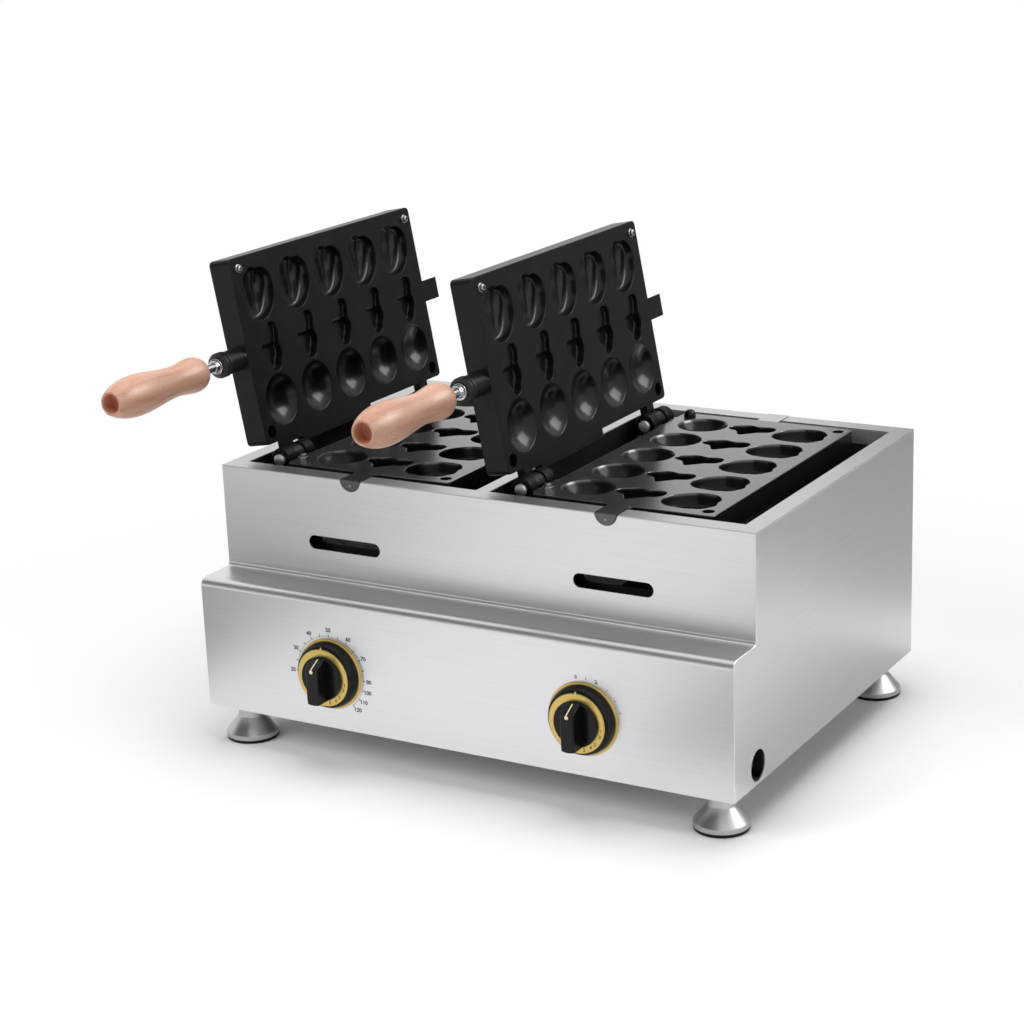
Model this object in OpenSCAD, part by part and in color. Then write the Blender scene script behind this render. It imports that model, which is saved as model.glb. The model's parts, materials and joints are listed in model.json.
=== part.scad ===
// Two-station gas waffle machine: two hinged pairs of cast mould plates in a stepped steel housing.
// X runs to the right, Y to the back and Z up. The origin is on the floor under the housing's centre.

/* [Mould plates] */
// Number of cavity rows from front to back
rows = 5; // [3:1:7]
// Distance between cavity rows
row_pitch = 60; // [56:1:80]
// Plate edge to the first row's cell
row_margin = 8.5; // [6:0.5:20]
// Hinge edge to the first column's centre
first_col = 38; // [34:0.5:60]
// Distance between cavity columns
col_pitch = 52.5; // [50:0.5:70]
// Last column's centre to the free edge
last_col = 39; // [36:0.5:60]
// Thickness of each plate
plate_t = 24; // [20:0.5:36]
// Radius of the plate's upright corners
plate_corner_r = 5; // [2:0.5:10]
// Rim level up to the plane where the plates meet
parting_rise = 0.5; // [0.4:0.1:3]
// Space between the closed plates
close_gap = 0.4; // [0.3:0.1:1]

/* [Cavities] */
// Mouth radius of the round bowls
bowl_r = 25; // [16:0.5:26]
// Depth of the bowls in the lower plate
bowl_depth = 15; // [8:0.5:17]
// Depth of the bell shapes in the lower plate
bell_depth = 11; // [7:0.5:15]
// Depth of the scalloped shapes in the lower plate
shell_depth = 13; // [6:0.5:16]
// How much shallower the upper plate's cavities are
lid_shallower = 3; // [0:0.5:5]

/* [Hinges] */
// Plate edge out to the hinge axis
hinge_out = 17; // [15:0.5:24]
// Parting plane down to the hinge axis
hinge_drop = 2; // [0:0.5:5]
// Radius of the hinge ears
ear_r = 11; // [9:0.5:13]
// Length of one ear along the axis
ear_len = 14.4; // [10:0.2:20]
// Space between ears
ear_gap = 0.6; // [0.4:0.1:1.5]
// Plate end to the first ear
ear_inset = 12.8; // [8:0.2:30]
// Radius of the hinge pins
pin_r = 4; // [3:0.5:5]
// Angle from closed to resting open
open_angle = 100; // [90:1:110]

/* [Lugs and handle] */
// Radius of the half-round lugs
lug_r = 11; // [8:0.5:11]
// Space between a lug and its notch
lug_clear = 0.4; // [0.3:0.1:1]
// Parting plane up to the handle's axis
handle_rise = 12.8; // [12.8:0.2:16]
// Handle's axis from the plate's middle toward the hinge
handle_shift = 4; // [0:0.5:8]
// Radius of the handle boss
boss_r = 11.3; // [8:0.1:11.5]
// Length of the handle boss
boss_len = 22; // [15:1:40]
// Radius of the handle rod
rod_r = 5; // [4:0.5:6]
// Radius of the black collar
collar_r = 12.3; // [11.5:0.1:12.3]
// Length of the black collar
collar_len = 12; // [8:1:20]
// Bare rod between the nut and the grip
rod_bare = 19; // [10:1:40]
// Length of the wooden grip
grip_len = 131; // [100:1:170]
// Largest radius of the wooden grip
grip_r = 19; // [16:0.5:24]

/* [Housing] */
// Height of the housing above its feet
body_h = 230; // [210:1:300]
// Height of the ledge above the housing's bottom
ledge_h = 129; // [110:1:130]
// Depth of the ledge
ledge_depth = 46; // [44:1:70]
// Sheet thickness
sheet = 1.2; // [0.8:0.1:2]
// Outer bend radius at the ledge's shoulder
shoulder_r = 8; // [4:0.5:12]
// Bend radius at the foot of the upper face
crease_r = 4; // [2:0.5:8]
// Width of the rim at each side
side_rim = 18; // [12:1:40]
// Width of the front rim
front_rim = 20; // [18:1:40]
// Width of the rear rim
rear_rim = 19; // [12:1:40]
// Width of the strip between the bays
divider_w = 14; // [8:1:40]
// Space beside the plate at its hinge
hinge_gap = 39; // [36:1:60]
// Space beside the plate at its free edge
free_gap = 34; // [10:1:60]
// Space between the plate's ends and the bay
end_gap = 8; // [4:0.5:20]
// Depth of the bay liners
liner_h = 108; // [80:1:108]

/* [Openings] */
// Length of the lighting slots
slot_len = 80; // [50:1:110]
// Width of the lighting slots
slot_w = 13.5; // [8:0.5:20]
// Height of the slots above the housing's bottom
slot_h = 165; // [150:1:175]
// Distance of each slot outwards from its bay's centre
slot_shift = 8; // [0:1:15]
// Radius of the gas hole in the right side
gas_hole_r = 14.5; // [12:0.5:16]

/* [Dials] */
// Height of the dials above the housing's bottom
dial_h = 54.5; // [50:0.5:70]
// Radius of the outer gold ring
dial_r = 34.5; // [33:0.5:40]
// Radius of the gold ring on the knob
knob_ring_r = 27.8; // [25:0.1:29]
// Height of the black skirt
skirt_h = 11.5; // [8:0.5:13]
// Radius of the knob
knob_r = 21.5; // [16:0.5:22]
// How far the knob's grip stands out of the panel
knob_out = 31; // [27:1:40]
// Width of the knob's grip
knob_grip_w = 13; // [9:0.5:16]
// Radius of the valve stem
stem_r = 4; // [3:0.5:4.5]

/* [Feet] */
// Height of the feet
foot_h = 38; // [30:1:50]
// Radius of a foot's base
foot_r = 25.5; // [20:0.5:30]
// Radius of a foot's neck
foot_neck_r = 10; // [8:0.5:18]
// Foot centre from the housing's sides
foot_inset_x = 27; // [26:1:60]
// Foot centre from the housing's front and back
foot_inset_y = 30; // [26:1:60]

/* [Gas parts] */
// Height of the manifold's axis above the housing's bottom
manifold_h = 18; // [16:0.5:24]
// Radius of the manifold pipe
pipe_r = 8; // [6:0.5:9]
// Height of the burner tubes' axis above the housing's bottom
burner_h = 106; // [90:1:110]
// Distance of each burner tube from the bay's centre
burner_spread = 46; // [35:1:60]
// Radius of the burner tubes
burner_r = 13; // [11:0.5:14]
// Wall of the burner tubes
burner_wall = 2; // [1.5:0.5:3]
// Distance between gas ports
port_pitch = 15; // [12:1:30]
// Radius of a gas port
port_r = 1.6; // [1:0.1:2.5]

/* [Hidden] */
$fn = 64;
eps = 0.01;
fit = 0.05;          // radial clearance of pins, stems and studs
seat = 0.3;          // space between resting parts on different bodies
over = 1;            // how far a cut runs past a face, or a root runs into its plate

// Overall sizes
plate_w = first_col + 2 * col_pitch + last_col;
plate_d = rows * row_pitch + 2 * row_margin;
bay_w = hinge_gap + plate_w + free_gap;
bay_d = plate_d + 2 * end_gap;
body_w = 2 * side_rim + divider_w + 2 * bay_w;
upper_d = front_rim + bay_d + rear_rim;

// Main planes
x_right = body_w / 2;
y_lower = -(ledge_depth + upper_d) / 2;
y_upper = y_lower + ledge_depth;
y_back = y_upper + upper_d;
z_base = foot_h;
z_ledge = z_base + ledge_h;
z_rim = z_base + body_h;
z_part = z_rim + parting_rise;
y_bay = y_upper + front_rim;
y_plate = y_bay + end_gap;
bay_mid_y = y_bay + bay_d / 2;

// Left edge of a bay and of its plate, and the bay's centre; side is -1 left and 1 right
function bay_x(side) = side < 0 ? -x_right + side_rim : divider_w / 2;
function plate_x(side) = bay_x(side) + hinge_gap;
function bay_mid_x(side) = bay_x(side) + bay_w / 2;

// Cavities, ears and studs in the plate's own frame
col_x = [first_col, first_col + col_pitch, first_col + 2 * col_pitch];
row_y = [for (i = [0:rows - 1]) row_margin + (i + 0.5) * row_pitch];
lug_x = plate_w / 2;
handle_x = lug_x - handle_shift;
ear_step = ear_len + ear_gap;
hinge_len = 3 * ear_len + 2 * ear_gap;
hinge_y = [ear_inset, plate_d - ear_inset - hinge_len];
stud_in = 11;
stud_y = [12.5, plate_d - 12.5];
stud_r = 3;
stud_deep = 8;
free_pocket_r = 5.5;
free_pocket_deep = 7;
screw_head_r = 4.2;
screw_head_t = 1.4;
hinge_pocket_r = 8.4;
hinge_pocket_deep = 10;
pin_tail = 4;
clip_t = 1.6;
clip_wall = 2.2;
set_screw_r = 1.7;
set_screw_len = 6;
set_screw_proud = 0.3;
lug_proud = 1;
front_lug = end_gap + front_rim + lug_proud;
rear_lug = end_gap + rear_rim + lug_proud;

// Hinge stop: a heel on the lid's ear that comes down on a block between the lower ears
stop_top = 12.3;
stop_t = 4;
heel_out = 12;
heel_w = 6;

// Handle along -Y from the lid's front edge
boss_end = -boss_len;
collar_end = boss_end - collar_len;
nut_len = 6;
nut_af = 16;
nut_end = collar_end - nut_len;
grip_start = nut_end - rod_bare;
rod_in = 14;
grip_bore = 70;
grip_neck_r = 9;
grip_edge = 2;
grip_recess_r = 9.2;
grip_recess = 12;

// Controls and gas line
z_dial = z_base + dial_h;
knob_gap = 0.5;
ring_w = 2;
ring_t = 2.2;
knob_ring_t = 1.5;
panel_hole_r = stem_r + 1;
knob_back = 3;
knob_base_top = skirt_h + 5.5;
knob_slope = 7.5;
knob_slope_h = knob_out - knob_base_top;
stem_out = 18;
stem_in = 18;
valve_front = 6;
valve_r = 11;
valve_back = 8;
y_pipe = y_upper + 2;
z_pipe = z_base + manifold_h;
pipe_wall = 1.5;
saddle_r = pipe_r + 3;
saddle_len = 18;
inlet_recess = 9;
inlet_len = 24;
inlet_bore_r = 6.6;
inlet_bore = 14;
shield_y = y_upper + 14;
shield_h = 96;
shield_flange = 12;
neck_r = 6;
nozzle_r = 4;
nozzle_in = 5;
nozzle_len = 14;
jet_r = 0.6;
jet_len = 9;
injector_flats = 11;
injector_hex_h = 4;
port_in_r = 3;
inlet_r = 10;
inlet_flats = 23;
inlet_hex_at = 4;
inlet_hex_h = 10;
inlet_way_r = 4;
mouth_r = 15;
mouth_len = 5;
z_burner = z_base + burner_h;
burner_in = burner_r - burner_wall;
burner_end = 24;
mix_start = 26;
bracket_t = 2;
bracket_margin = 20;

// ---------- shared shapes ----------

module rounded_plate(w, d, r) {
    translate([r, 0]) square([w - 2 * r, d]);
    translate([0, r]) square([w, d - 2 * r]);
    for (x = [r, w - r], y = [r, d - r])
        translate([x, y]) circle(r);
}

// A cylinder that runs along +Y
module rod_y(r, h) {
    rotate([-90, 0, 0]) cylinder(r = r, h = h);
}

// A hex prism that runs along +Z
module hex(af, h) {
    cylinder(r = af / sqrt(3), h = h, $fn = 6);
}

// Rounded head on Z = 0
module dome(r, h) {
    steps = 8;
    rotate_extrude()
        polygon(concat([[0, 0]], [for (i = [0:steps - 1]) [r * cos(90 * i / steps), h * sin(90 * i / steps)]],
            [[0, h]]));
}

// Puts children in a plate pair's frame: hinge edge, front edge, parting plane
module at_plates(side) {
    translate([plate_x(side), y_plate, z_part]) children();
}

// Swings children, drawn closed, up to where the lid rests open
module lid_open(angle = open_angle) {
    translate([-hinge_out, 0, -hinge_drop])
        rotate([0, -angle, 0])
            translate([hinge_out, 0, hinge_drop]) children();
}

// Puts children on a dial: Z out of the panel, Y up
module at_dial(side) {
    translate([bay_mid_x(side), y_lower, z_dial])
        rotate([90, 0, 0]) children();
}

// ---------- mould plates ----------

// Round bowl, drawn below z = 0
module bowl_cut(depth) {
    ball_r = (pow(bowl_r, 2) + pow(depth, 2)) / (2 * depth);
    intersection() {
        translate([0, 0, ball_r - depth]) sphere(ball_r, $fn = 96);
        translate([0, 0, -depth - over]) cylinder(r = bowl_r, h = depth + 2 * over);
    }
}

// Bell outline: a round head, a long front shoulder, a short back shoulder and a round tail
module bell_outline() {
    translate([13.5, 8.5]) circle(9.5);
    polygon([[14, -1], [4, -11.5], [0, -17.5], [-2.5, -17.5], [-9, -9.5], [-15, -1.5], [-15, 13.5],
        [-8, 14.5], [-4, 18.5], [0, 18.5], [13.5, 18]]);
    translate([-14.5, 6]) circle(7.6);
}

// Scalloped outline: a broad round foot and five lobes
module shell_outline() {
    translate([-6, 0]) circle(18.5);
    translate([2, 11.5]) circle(14);
    translate([2, -11.5]) circle(14);
    translate([13, 8]) circle(10.5);
    translate([13, -8]) circle(10.5);
    translate([16, 0]) circle(9.2);
}

// The bell's head is a step shallower than its shoulders and tail
module bell_cut(depth) {
    step = 3;
    translate([0, 0, step - depth]) linear_extrude(depth - step + over) bell_outline();
    translate([0, 0, -depth]) linear_extrude(depth)
        intersection() {
            bell_outline();
            translate([-30, -30]) square([30.5, 60]);
        }
}

module shell_cut(depth) {
    translate([0, 0, -depth]) linear_extrude(depth + over) shell_outline();
}

// All cavities of one plate, drawn below z = 0
module cavities(less) {
    for (y = row_y) {
        translate([col_x[0], y, 0]) bowl_cut(bowl_depth - less);
        translate([col_x[1], y, 0]) bell_cut(bell_depth - less);
        translate([col_x[2], y, 0]) shell_cut(shell_depth - less);
    }
}

// One hinge ear's disc
module ear(y) {
    translate([-hinge_out, y, -hinge_drop]) rod_y(ear_r, ear_len);
}

// Pin bores through both hinges
module pin_bores(clear) {
    for (y = hinge_y)
        translate([-hinge_out, y - over, -hinge_drop]) rod_y(pin_r + clear, hinge_len + 2 * over);
}

module lower_ears() {
    web_h = ear_r + stop_t + over;
    for (y = hinge_y) {
        for (k = [0, 2]) {
            ear(y + k * ear_step);
            translate([-hinge_out, y + k * ear_step, -hinge_drop - web_h])
                cube([hinge_out + over, ear_len, web_h]);
        }
        translate([-hinge_out - heel_out - over, y, -hinge_drop - stop_top - stop_t])
            cube([heel_out + over + ear_r, hinge_len, stop_t]);
    }
}

module lower_lugs() {
    intersection() {
        translate([lug_x, -front_lug, 0]) rod_y(lug_r, front_lug + plate_d + rear_lug);
        union() {
            translate([lug_x - lug_r, -front_lug, -lug_r])
                cube([2 * lug_r, front_lug + over, lug_r]);
            translate([lug_x - lug_r, plate_d - over, -lug_r])
                cube([2 * lug_r, rear_lug + over, lug_r]);
        }
    }
}

// Lower plate in its own frame, top face at z = 0
module lower_mould() {
    color([0.13, 0.13, 0.135])
    difference() {
        union() {
            translate([0, 0, -plate_t]) linear_extrude(plate_t)
                rounded_plate(plate_w, plate_d, plate_corner_r);
            lower_ears();
            lower_lugs();
        }
        cavities(0);
        pin_bores(fit);
        for (y = stud_y) {
            translate([stud_in, y, -stud_deep]) cylinder(r = stud_r + fit, h = stud_deep + over);
            translate([plate_w - stud_in, y, -free_pocket_deep])
                cylinder(r = free_pocket_r, h = free_pocket_deep + over);
            translate([plate_w - stud_in, y, -free_pocket_deep - stud_deep])
                cylinder(r = stud_r + fit, h = stud_deep + over);
        }
        translate([lug_x, -front_lug - over, -lug_r / 2]) rod_y(set_screw_r + fit, set_screw_len + over);
    }
}

// Lid ear in the closed frame, with its heel placed for the open position
module lid_ears() {
    for (y = hinge_y) {
        ear(y + ear_step);
        translate([-hinge_out, y + ear_step, close_gap])
            cube([hinge_out + over, ear_len, ear_r - hinge_drop - close_gap]);
        lid_open(-open_angle)
            translate([-hinge_out - heel_out, y + ear_step, -hinge_drop - stop_top + seat])
                cube([heel_w, ear_len, stop_top - ear_r / 2]);
    }
}

// Upper plate in its own frame, drawn closed with its mating face just above z = 0
module upper_mould_closed() {
    color([0.13, 0.13, 0.135])
    difference() {
        union() {
            translate([0, 0, close_gap]) linear_extrude(plate_t)
                rounded_plate(plate_w, plate_d, plate_corner_r);
            lid_ears();
            translate([handle_x, boss_end, handle_rise]) rod_y(boss_r, boss_len + over);
            intersection() {
                translate([lug_x, plate_d - over, close_gap]) rod_y(lug_r, rear_lug);
                translate([lug_x - lug_r, plate_d - over, close_gap])
                    cube([2 * lug_r, rear_lug, lug_r]);
            }
        }
        translate([0, 0, close_gap]) mirror([0, 0, 1]) cavities(lid_shallower);
        pin_bores(2 * fit);
        translate([handle_x, boss_end - over, handle_rise]) rod_y(rod_r + fit, rod_in + over);
        for (y = stud_y) {
            translate([plate_w - stud_in, y, -over])
                cylinder(r = stud_r + fit, h = stud_deep + close_gap + over);
            translate([stud_in, y, -over])
                cylinder(r = hinge_pocket_r, h = hinge_pocket_deep + close_gap + over);
            translate([stud_in, y, hinge_pocket_deep])
                cylinder(r = stud_r + fit, h = stud_deep + close_gap);
        }
    }
}

// Dome-headed pin along +Y, head at the front
module hinge_pin(y) {
    head_r = 5.6;
    head_t = 2.2;
    head_rise = 2.4;
    translate([-hinge_out, y, -hinge_drop]) {
        translate([0, -eps, 0]) rod_y(pin_r, hinge_len + pin_tail + eps);
        translate([0, -head_t, 0]) rod_y(head_r, head_t);
        translate([0, -head_t + eps, 0]) rotate([90, 0, 0]) dome(head_r, head_rise);
    }
}

module hinge_pins(side) {
    color([0.8, 0.8, 0.8])
    at_plates(side)
        for (y = hinge_y) hinge_pin(y);
}

// Spring clips round the pins' tails, against the rear ears
module hinge_clips(side) {
    color([0.45, 0.45, 0.47])
    at_plates(side)
        for (y = hinge_y)
            translate([-hinge_out, y + hinge_len, -hinge_drop])
                difference() {
                    rod_y(pin_r + clip_wall, clip_t);
                    translate([0, -over, 0]) rod_y(pin_r + fit, clip_t + 2 * over);
                }
}

// Hex nut on a stud at the front of the hinge edge, recessed screws at the free edge, lug set screw
module plate_studs(side) {
    nut_h = 5;
    nut_flats = 10;
    tail = 3;
    color([0.78, 0.78, 0.8])
    at_plates(side) {
        translate([stud_in, stud_y[0], 0]) {
            hex(nut_flats, nut_h);
            translate([0, 0, -stud_deep]) cylinder(r = stud_r, h = stud_deep + nut_h + tail);
        }
        for (y = stud_y)
            translate([plate_w - stud_in, y, -free_pocket_deep]) {
                cylinder(r = screw_head_r, h = screw_head_t);
                translate([0, 0, -stud_deep + over]) cylinder(r = stud_r, h = stud_deep);
            }
        translate([lug_x, -front_lug - set_screw_proud, -lug_r / 2]) rod_y(set_screw_r, set_screw_len);
    }
}

// Black dome nut at the back of the hinge edge
module dome_nut(side) {
    nut_r = 6.3;
    nut_rise = 6.2;
    skirt = 2.5;
    color([0.08, 0.08, 0.08])
    at_plates(side)
        translate([stud_in, stud_y[1], 0]) {
            cylinder(r = nut_r, h = skirt);
            translate([0, 0, skirt - eps]) dome(nut_r, nut_rise);
            translate([0, 0, -stud_deep]) cylinder(r = stud_r, h = stud_deep + over);
        }
}

// Proud dome studs at the lid's free edge and recessed screws at its hinge edge
module lid_studs(side) {
    flange = 1.6;
    flange_r = 4.4;
    head_r = 3.4;
    head_rise = 3.2;
    color([0.78, 0.78, 0.8])
    at_plates(side) lid_open() {
        for (y = stud_y) {
            translate([plate_w - stud_in, y, close_gap]) {
                translate([0, 0, -eps]) cylinder(r = stud_r, h = stud_deep - over);
                translate([0, 0, -flange]) cylinder(r = flange_r, h = flange);
                translate([0, 0, eps - flange]) mirror([0, 0, 1]) dome(head_r, head_rise);
            }
            translate([stud_in, y, close_gap + hinge_pocket_deep]) {
                translate([0, 0, -screw_head_t]) cylinder(r = screw_head_r, h = screw_head_t);
                cylinder(r = stud_r, h = stud_deep - over);
            }
        }
    }
}

// ---------- handle ----------

module at_handle(side) {
    at_plates(side) lid_open() translate([handle_x, 0, handle_rise]) children();
}

module handle_rod(side) {
    color([0.82, 0.82, 0.83])
    at_handle(side)
        translate([0, grip_start - grip_bore + over, 0])
            rod_y(rod_r, grip_bore - over - grip_start + boss_end + rod_in);
}

// Black collar with chamfered ends
module handle_collar(side) {
    chamfer = 1.5;
    color([0.1, 0.1, 0.1])
    at_handle(side)
        translate([0, boss_end, 0]) rotate([90, 0, 0])
            rotate_extrude()
                polygon([[rod_r + fit, 0], [collar_r - chamfer, 0], [collar_r, chamfer],
                    [collar_r, collar_len - 2 * chamfer], [collar_r - 2 * chamfer, collar_len],
                    [rod_r + fit, collar_len]]);
}

module handle_nut(side) {
    color([0.85, 0.85, 0.86])
    at_handle(side)
        translate([0, collar_end, 0]) rotate([90, 0, 0])
            difference() {
                hex(nut_af, nut_len);
                translate([0, 0, -over]) cylinder(r = rod_r + fit, h = nut_len + 2 * over);
            }
}

// Grip radius at t from 0 at the rod to 1 at the free end: neck, small bulge, waist, large bulge
grip_back = 0.1;
grip_waist = 0.31;
grip_front = 0.75;
grip_fall = 0.32;
grip_back_r = 0.88 * grip_r;
grip_waist_r = 0.76 * grip_r;
function ease(a, b, u) = a + (b - a) * (1 - cos(180 * u)) / 2;
function arc_up(u) = sqrt(1 - pow(1 - u, 2));
function grip_radius(t) =
    t < grip_back ? grip_neck_r + (grip_back_r - grip_neck_r) * arc_up(t / grip_back)
    : t < grip_waist ? ease(grip_back_r, grip_waist_r, (t - grip_back) / (grip_waist - grip_back))
    : t < grip_front ? ease(grip_waist_r, grip_r, (t - grip_waist) / (grip_front - grip_waist))
    : grip_r * sqrt(1 - pow((t - grip_front) / grip_fall, 2));

module wood_grip(side) {
    steps = 32;
    outline = [for (i = [0:steps]) [grip_radius(i / steps), (grip_len - grip_edge) * i / steps]];
    color([0.86, 0.66, 0.5])
    at_handle(side)
        translate([0, grip_start, 0]) rotate([90, 0, 0])
            difference() {
                rotate_extrude()
                    polygon(concat([[0, 0]], outline,
                        [[grip_radius(1) - grip_edge, grip_len], [0, grip_len]]));
                translate([0, 0, -over]) cylinder(r = rod_r + fit, h = grip_bore + over);
                translate([0, 0, grip_len - grip_recess])
                    cylinder(r = grip_recess_r, h = grip_recess + over);
            }
}

// ---------- housing ----------

// Half-round notch cut along Y through the rim, open at the top
module notch_cut(side, y, len) {
    translate([plate_x(side) + lug_x, y, z_part]) rod_y(lug_r + lug_clear, len);
}

// Quarter of a bent sheet: y0, z0 is the bend's centre, qy and qz point into its quadrant
module bend(y0, z0, r, qy, qz) {
    intersection() {
        difference() {
            translate([y0, z0]) circle(r);
            translate([y0, z0]) circle(r - sheet);
        }
        translate([y0 + (qy < 0 ? -r : 0), z0 + (qz < 0 ? -r : 0)]) square(r);
    }
}

// Front sheet in side view: upper face, crease, ledge, shoulder and lower face
module front_profile() {
    translate([y_upper, z_ledge + crease_r])
        square([sheet, z_rim - sheet - z_ledge - crease_r]);
    bend(y_upper - crease_r, z_ledge + crease_r, crease_r + sheet, 1, -1);
    translate([y_lower + shoulder_r, z_ledge - sheet])
        square([ledge_depth - shoulder_r - crease_r, sheet]);
    bend(y_lower + shoulder_r, z_ledge - shoulder_r, shoulder_r, -1, 1);
    translate([y_lower, z_base]) square([sheet, ledge_h - shoulder_r]);
}

// Lighting slot along X, cut through to the given depth
module slot_cut(side, y, depth) {
    mid = bay_mid_x(side) + side * slot_shift;
    half = (slot_len - slot_w) / 2;
    translate([mid - half, y, z_base + slot_h - slot_w / 2]) cube([2 * half, depth, slot_w]);
    for (s = [-1, 1])
        translate([mid + s * half, y, z_base + slot_h]) rod_y(slot_w / 2, depth);
}

module front_panel() {
    color([0.78, 0.78, 0.79])
    difference() {
        translate([-x_right + sheet, 0, 0])
            rotate([90, 0, 90]) linear_extrude(body_w - 2 * sheet) front_profile();
        for (side = [-1, 1]) {
            slot_cut(side, y_upper - over, sheet + 2 * over);
            notch_cut(side, y_upper - over, sheet + 2 * over);
            translate([bay_mid_x(side), y_lower - over, z_dial])
                rod_y(panel_hole_r, sheet + 2 * over);
        }
    }
}

// Stepped side outline in the Y-Z plane
module side_outline() {
    difference() {
        union() {
            translate([y_lower, z_base]) square([y_back - y_lower, ledge_h]);
            translate([y_upper, z_base]) square([upper_d, body_h - sheet]);
        }
        difference() {
            translate([y_lower - over, z_ledge - shoulder_r])
                square([shoulder_r + over, shoulder_r + over]);
            translate([y_lower + shoulder_r, z_ledge - shoulder_r]) circle(shoulder_r);
        }
    }
    difference() {
        translate([y_upper - crease_r, z_ledge]) square([crease_r, crease_r]);
        translate([y_upper - crease_r, z_ledge + crease_r]) circle(crease_r);
    }
}

module side_panel(x) {
    translate([x, 0, 0]) rotate([90, 0, 90]) linear_extrude(sheet) side_outline();
}

module left_side_panel() {
    color([0.76, 0.76, 0.77]) side_panel(-x_right);
}

module right_side_panel() {
    color([0.76, 0.76, 0.77])
    difference() {
        side_panel(x_right - sheet);
        translate([x_right - sheet - over, y_pipe, z_pipe])
            rotate([0, 90, 0]) cylinder(r = gas_hole_r, h = sheet + 2 * over);
    }
}

// Back sheet between the side panels, with two rows of vents and the rear notches
vent_w = 5;
vent_h = 34;
vent_pitch = 16;
vent_count = 11;
vent_z = [z_base + 50, z_base + 120];
rear_screw_r = 2;
rear_screw_len = 6;
rear_head_r = 3.9;
rear_head_rise = 2;
rear_screw_x = body_w / 2 - 20;
rear_screw_z = [z_base + 18, z_base + body_h / 2, z_base + body_h - 22];

module rear_panel() {
    color([0.74, 0.74, 0.75])
    difference() {
        translate([-x_right + sheet, y_back - sheet, z_base])
            cube([body_w - 2 * sheet, sheet, body_h - sheet]);
        for (side = [-1, 1]) {
            notch_cut(side, y_back - sheet - over, sheet + 2 * over);
            for (i = [0:vent_count - 1], z = vent_z)
                translate([bay_mid_x(side) + (i - (vent_count - 1) / 2) * vent_pitch - vent_w / 2,
                    y_back - sheet - over, z]) cube([vent_w, sheet + 2 * over, vent_h]);
            for (z = rear_screw_z)
                translate([side * rear_screw_x, y_back - sheet - over, z])
                    rod_y(rear_screw_r + fit, sheet + 2 * over);
        }
    }
}

module rear_panel_screws() {
    color([0.7, 0.7, 0.7])
    for (side = [-1, 1], z = rear_screw_z)
        translate([side * rear_screw_x, y_back, z]) {
            translate([0, -rear_screw_len, 0]) rod_y(rear_screw_r, rear_screw_len + eps);
            rotate([-90, 0, 0]) dome(rear_head_r, rear_head_rise);
        }
}

// Floor sheet with foot holes and rows of air slots under each burner
air_len = 60;
air_w = 6;
air_gap = 30;
air_pitch = 34;
air_rows = 7;
module bottom_panel() {
    color([0.6, 0.6, 0.61])
    difference() {
        translate([-x_right + sheet, y_lower + sheet, z_base])
            cube([body_w - 2 * sheet, y_back - y_lower - 2 * sheet, sheet]);
        at_feet() translate([0, 0, z_base - over])
            cylinder(r = foot_stud_r + fit, h = sheet + 2 * over);
        for (side = [-1, 1], i = [0:air_rows - 1], k = [-1, 1])
            translate([bay_mid_x(side) + k * (air_len + air_gap) / 2 - air_len / 2,
                bay_mid_y + (i - (air_rows - 1) / 2) * air_pitch - air_w / 2, z_base - over])
                cube([air_len, air_w, sheet + 2 * over]);
    }
}

// Flat rim round both bays, resting on the panels' top edges
module top_frame() {
    color([0.8, 0.8, 0.81])
    difference() {
        translate([-x_right, y_upper, z_rim - sheet]) cube([body_w, upper_d, sheet]);
        for (side = [-1, 1]) {
            translate([bay_x(side), y_bay, z_rim - sheet - over])
                cube([bay_w, bay_d, sheet + 2 * over]);
            translate([plate_x(side) + lug_x - lug_r - lug_clear, y_upper - over, z_rim - sheet - over])
                cube([2 * (lug_r + lug_clear), upper_d + 2 * over, sheet + 2 * over]);
        }
    }
}

// Four-walled liner hung under the rim, flush with the bay
module bay_liner(side) {
    top = z_rim - sheet;
    color([0.5, 0.5, 0.51])
    difference() {
        translate([bay_x(side) - sheet, y_bay - sheet, top - liner_h])
            cube([bay_w + 2 * sheet, bay_d + 2 * sheet, liner_h]);
        translate([bay_x(side), y_bay, top - liner_h - over])
            cube([bay_w, bay_d, liner_h + 2 * over]);
        slot_cut(side, y_bay - sheet - over, sheet + 2 * over);
        notch_cut(side, y_bay - sheet - over, sheet + 2 * over);
        notch_cut(side, y_bay + bay_d - over, sheet + 2 * over);
    }
}

// Square bars across the bays that the plates rest on beside their lugs
rest_bar = 8;
rest_in = 14;
module rest_bars() {
    color([0.55, 0.55, 0.56])
    for (side = [-1, 1], x = [rest_in, plate_w - rest_in - rest_bar])
        translate([plate_x(side) + x, y_bay, z_part - plate_t - seat - rest_bar])
            cube([rest_bar, bay_d, rest_bar]);
}

// ---------- feet ----------

foot_stud_r = 4;
foot_stud_in = 20;
foot_rim_h = 8.5;
foot_cone_h = 25;
foot_edge = 1;
module at_feet() {
    for (s = [-1, 1], y = [y_lower + foot_inset_y, y_back - foot_inset_y])
        translate([s * (x_right - foot_inset_x), y, 0]) children();
}

// Cone foot: upright base rim, straight flank and a plain neck
module foot(sx, y) {
    color([0.75, 0.75, 0.76])
    translate([sx * (x_right - foot_inset_x), y, 0])
        difference() {
            rotate_extrude()
                polygon([[0, 0], [foot_r - foot_edge, 0], [foot_r, foot_edge],
                    [foot_r, foot_rim_h - foot_edge], [foot_r - foot_edge, foot_rim_h],
                    [foot_neck_r, foot_cone_h],
                    [foot_neck_r, foot_h - foot_edge], [foot_neck_r - foot_edge, foot_h], [0, foot_h]]);
            translate([0, 0, foot_h - foot_stud_in])
                cylinder(r = foot_stud_r + fit, h = foot_stud_in + over);
        }
}

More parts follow.
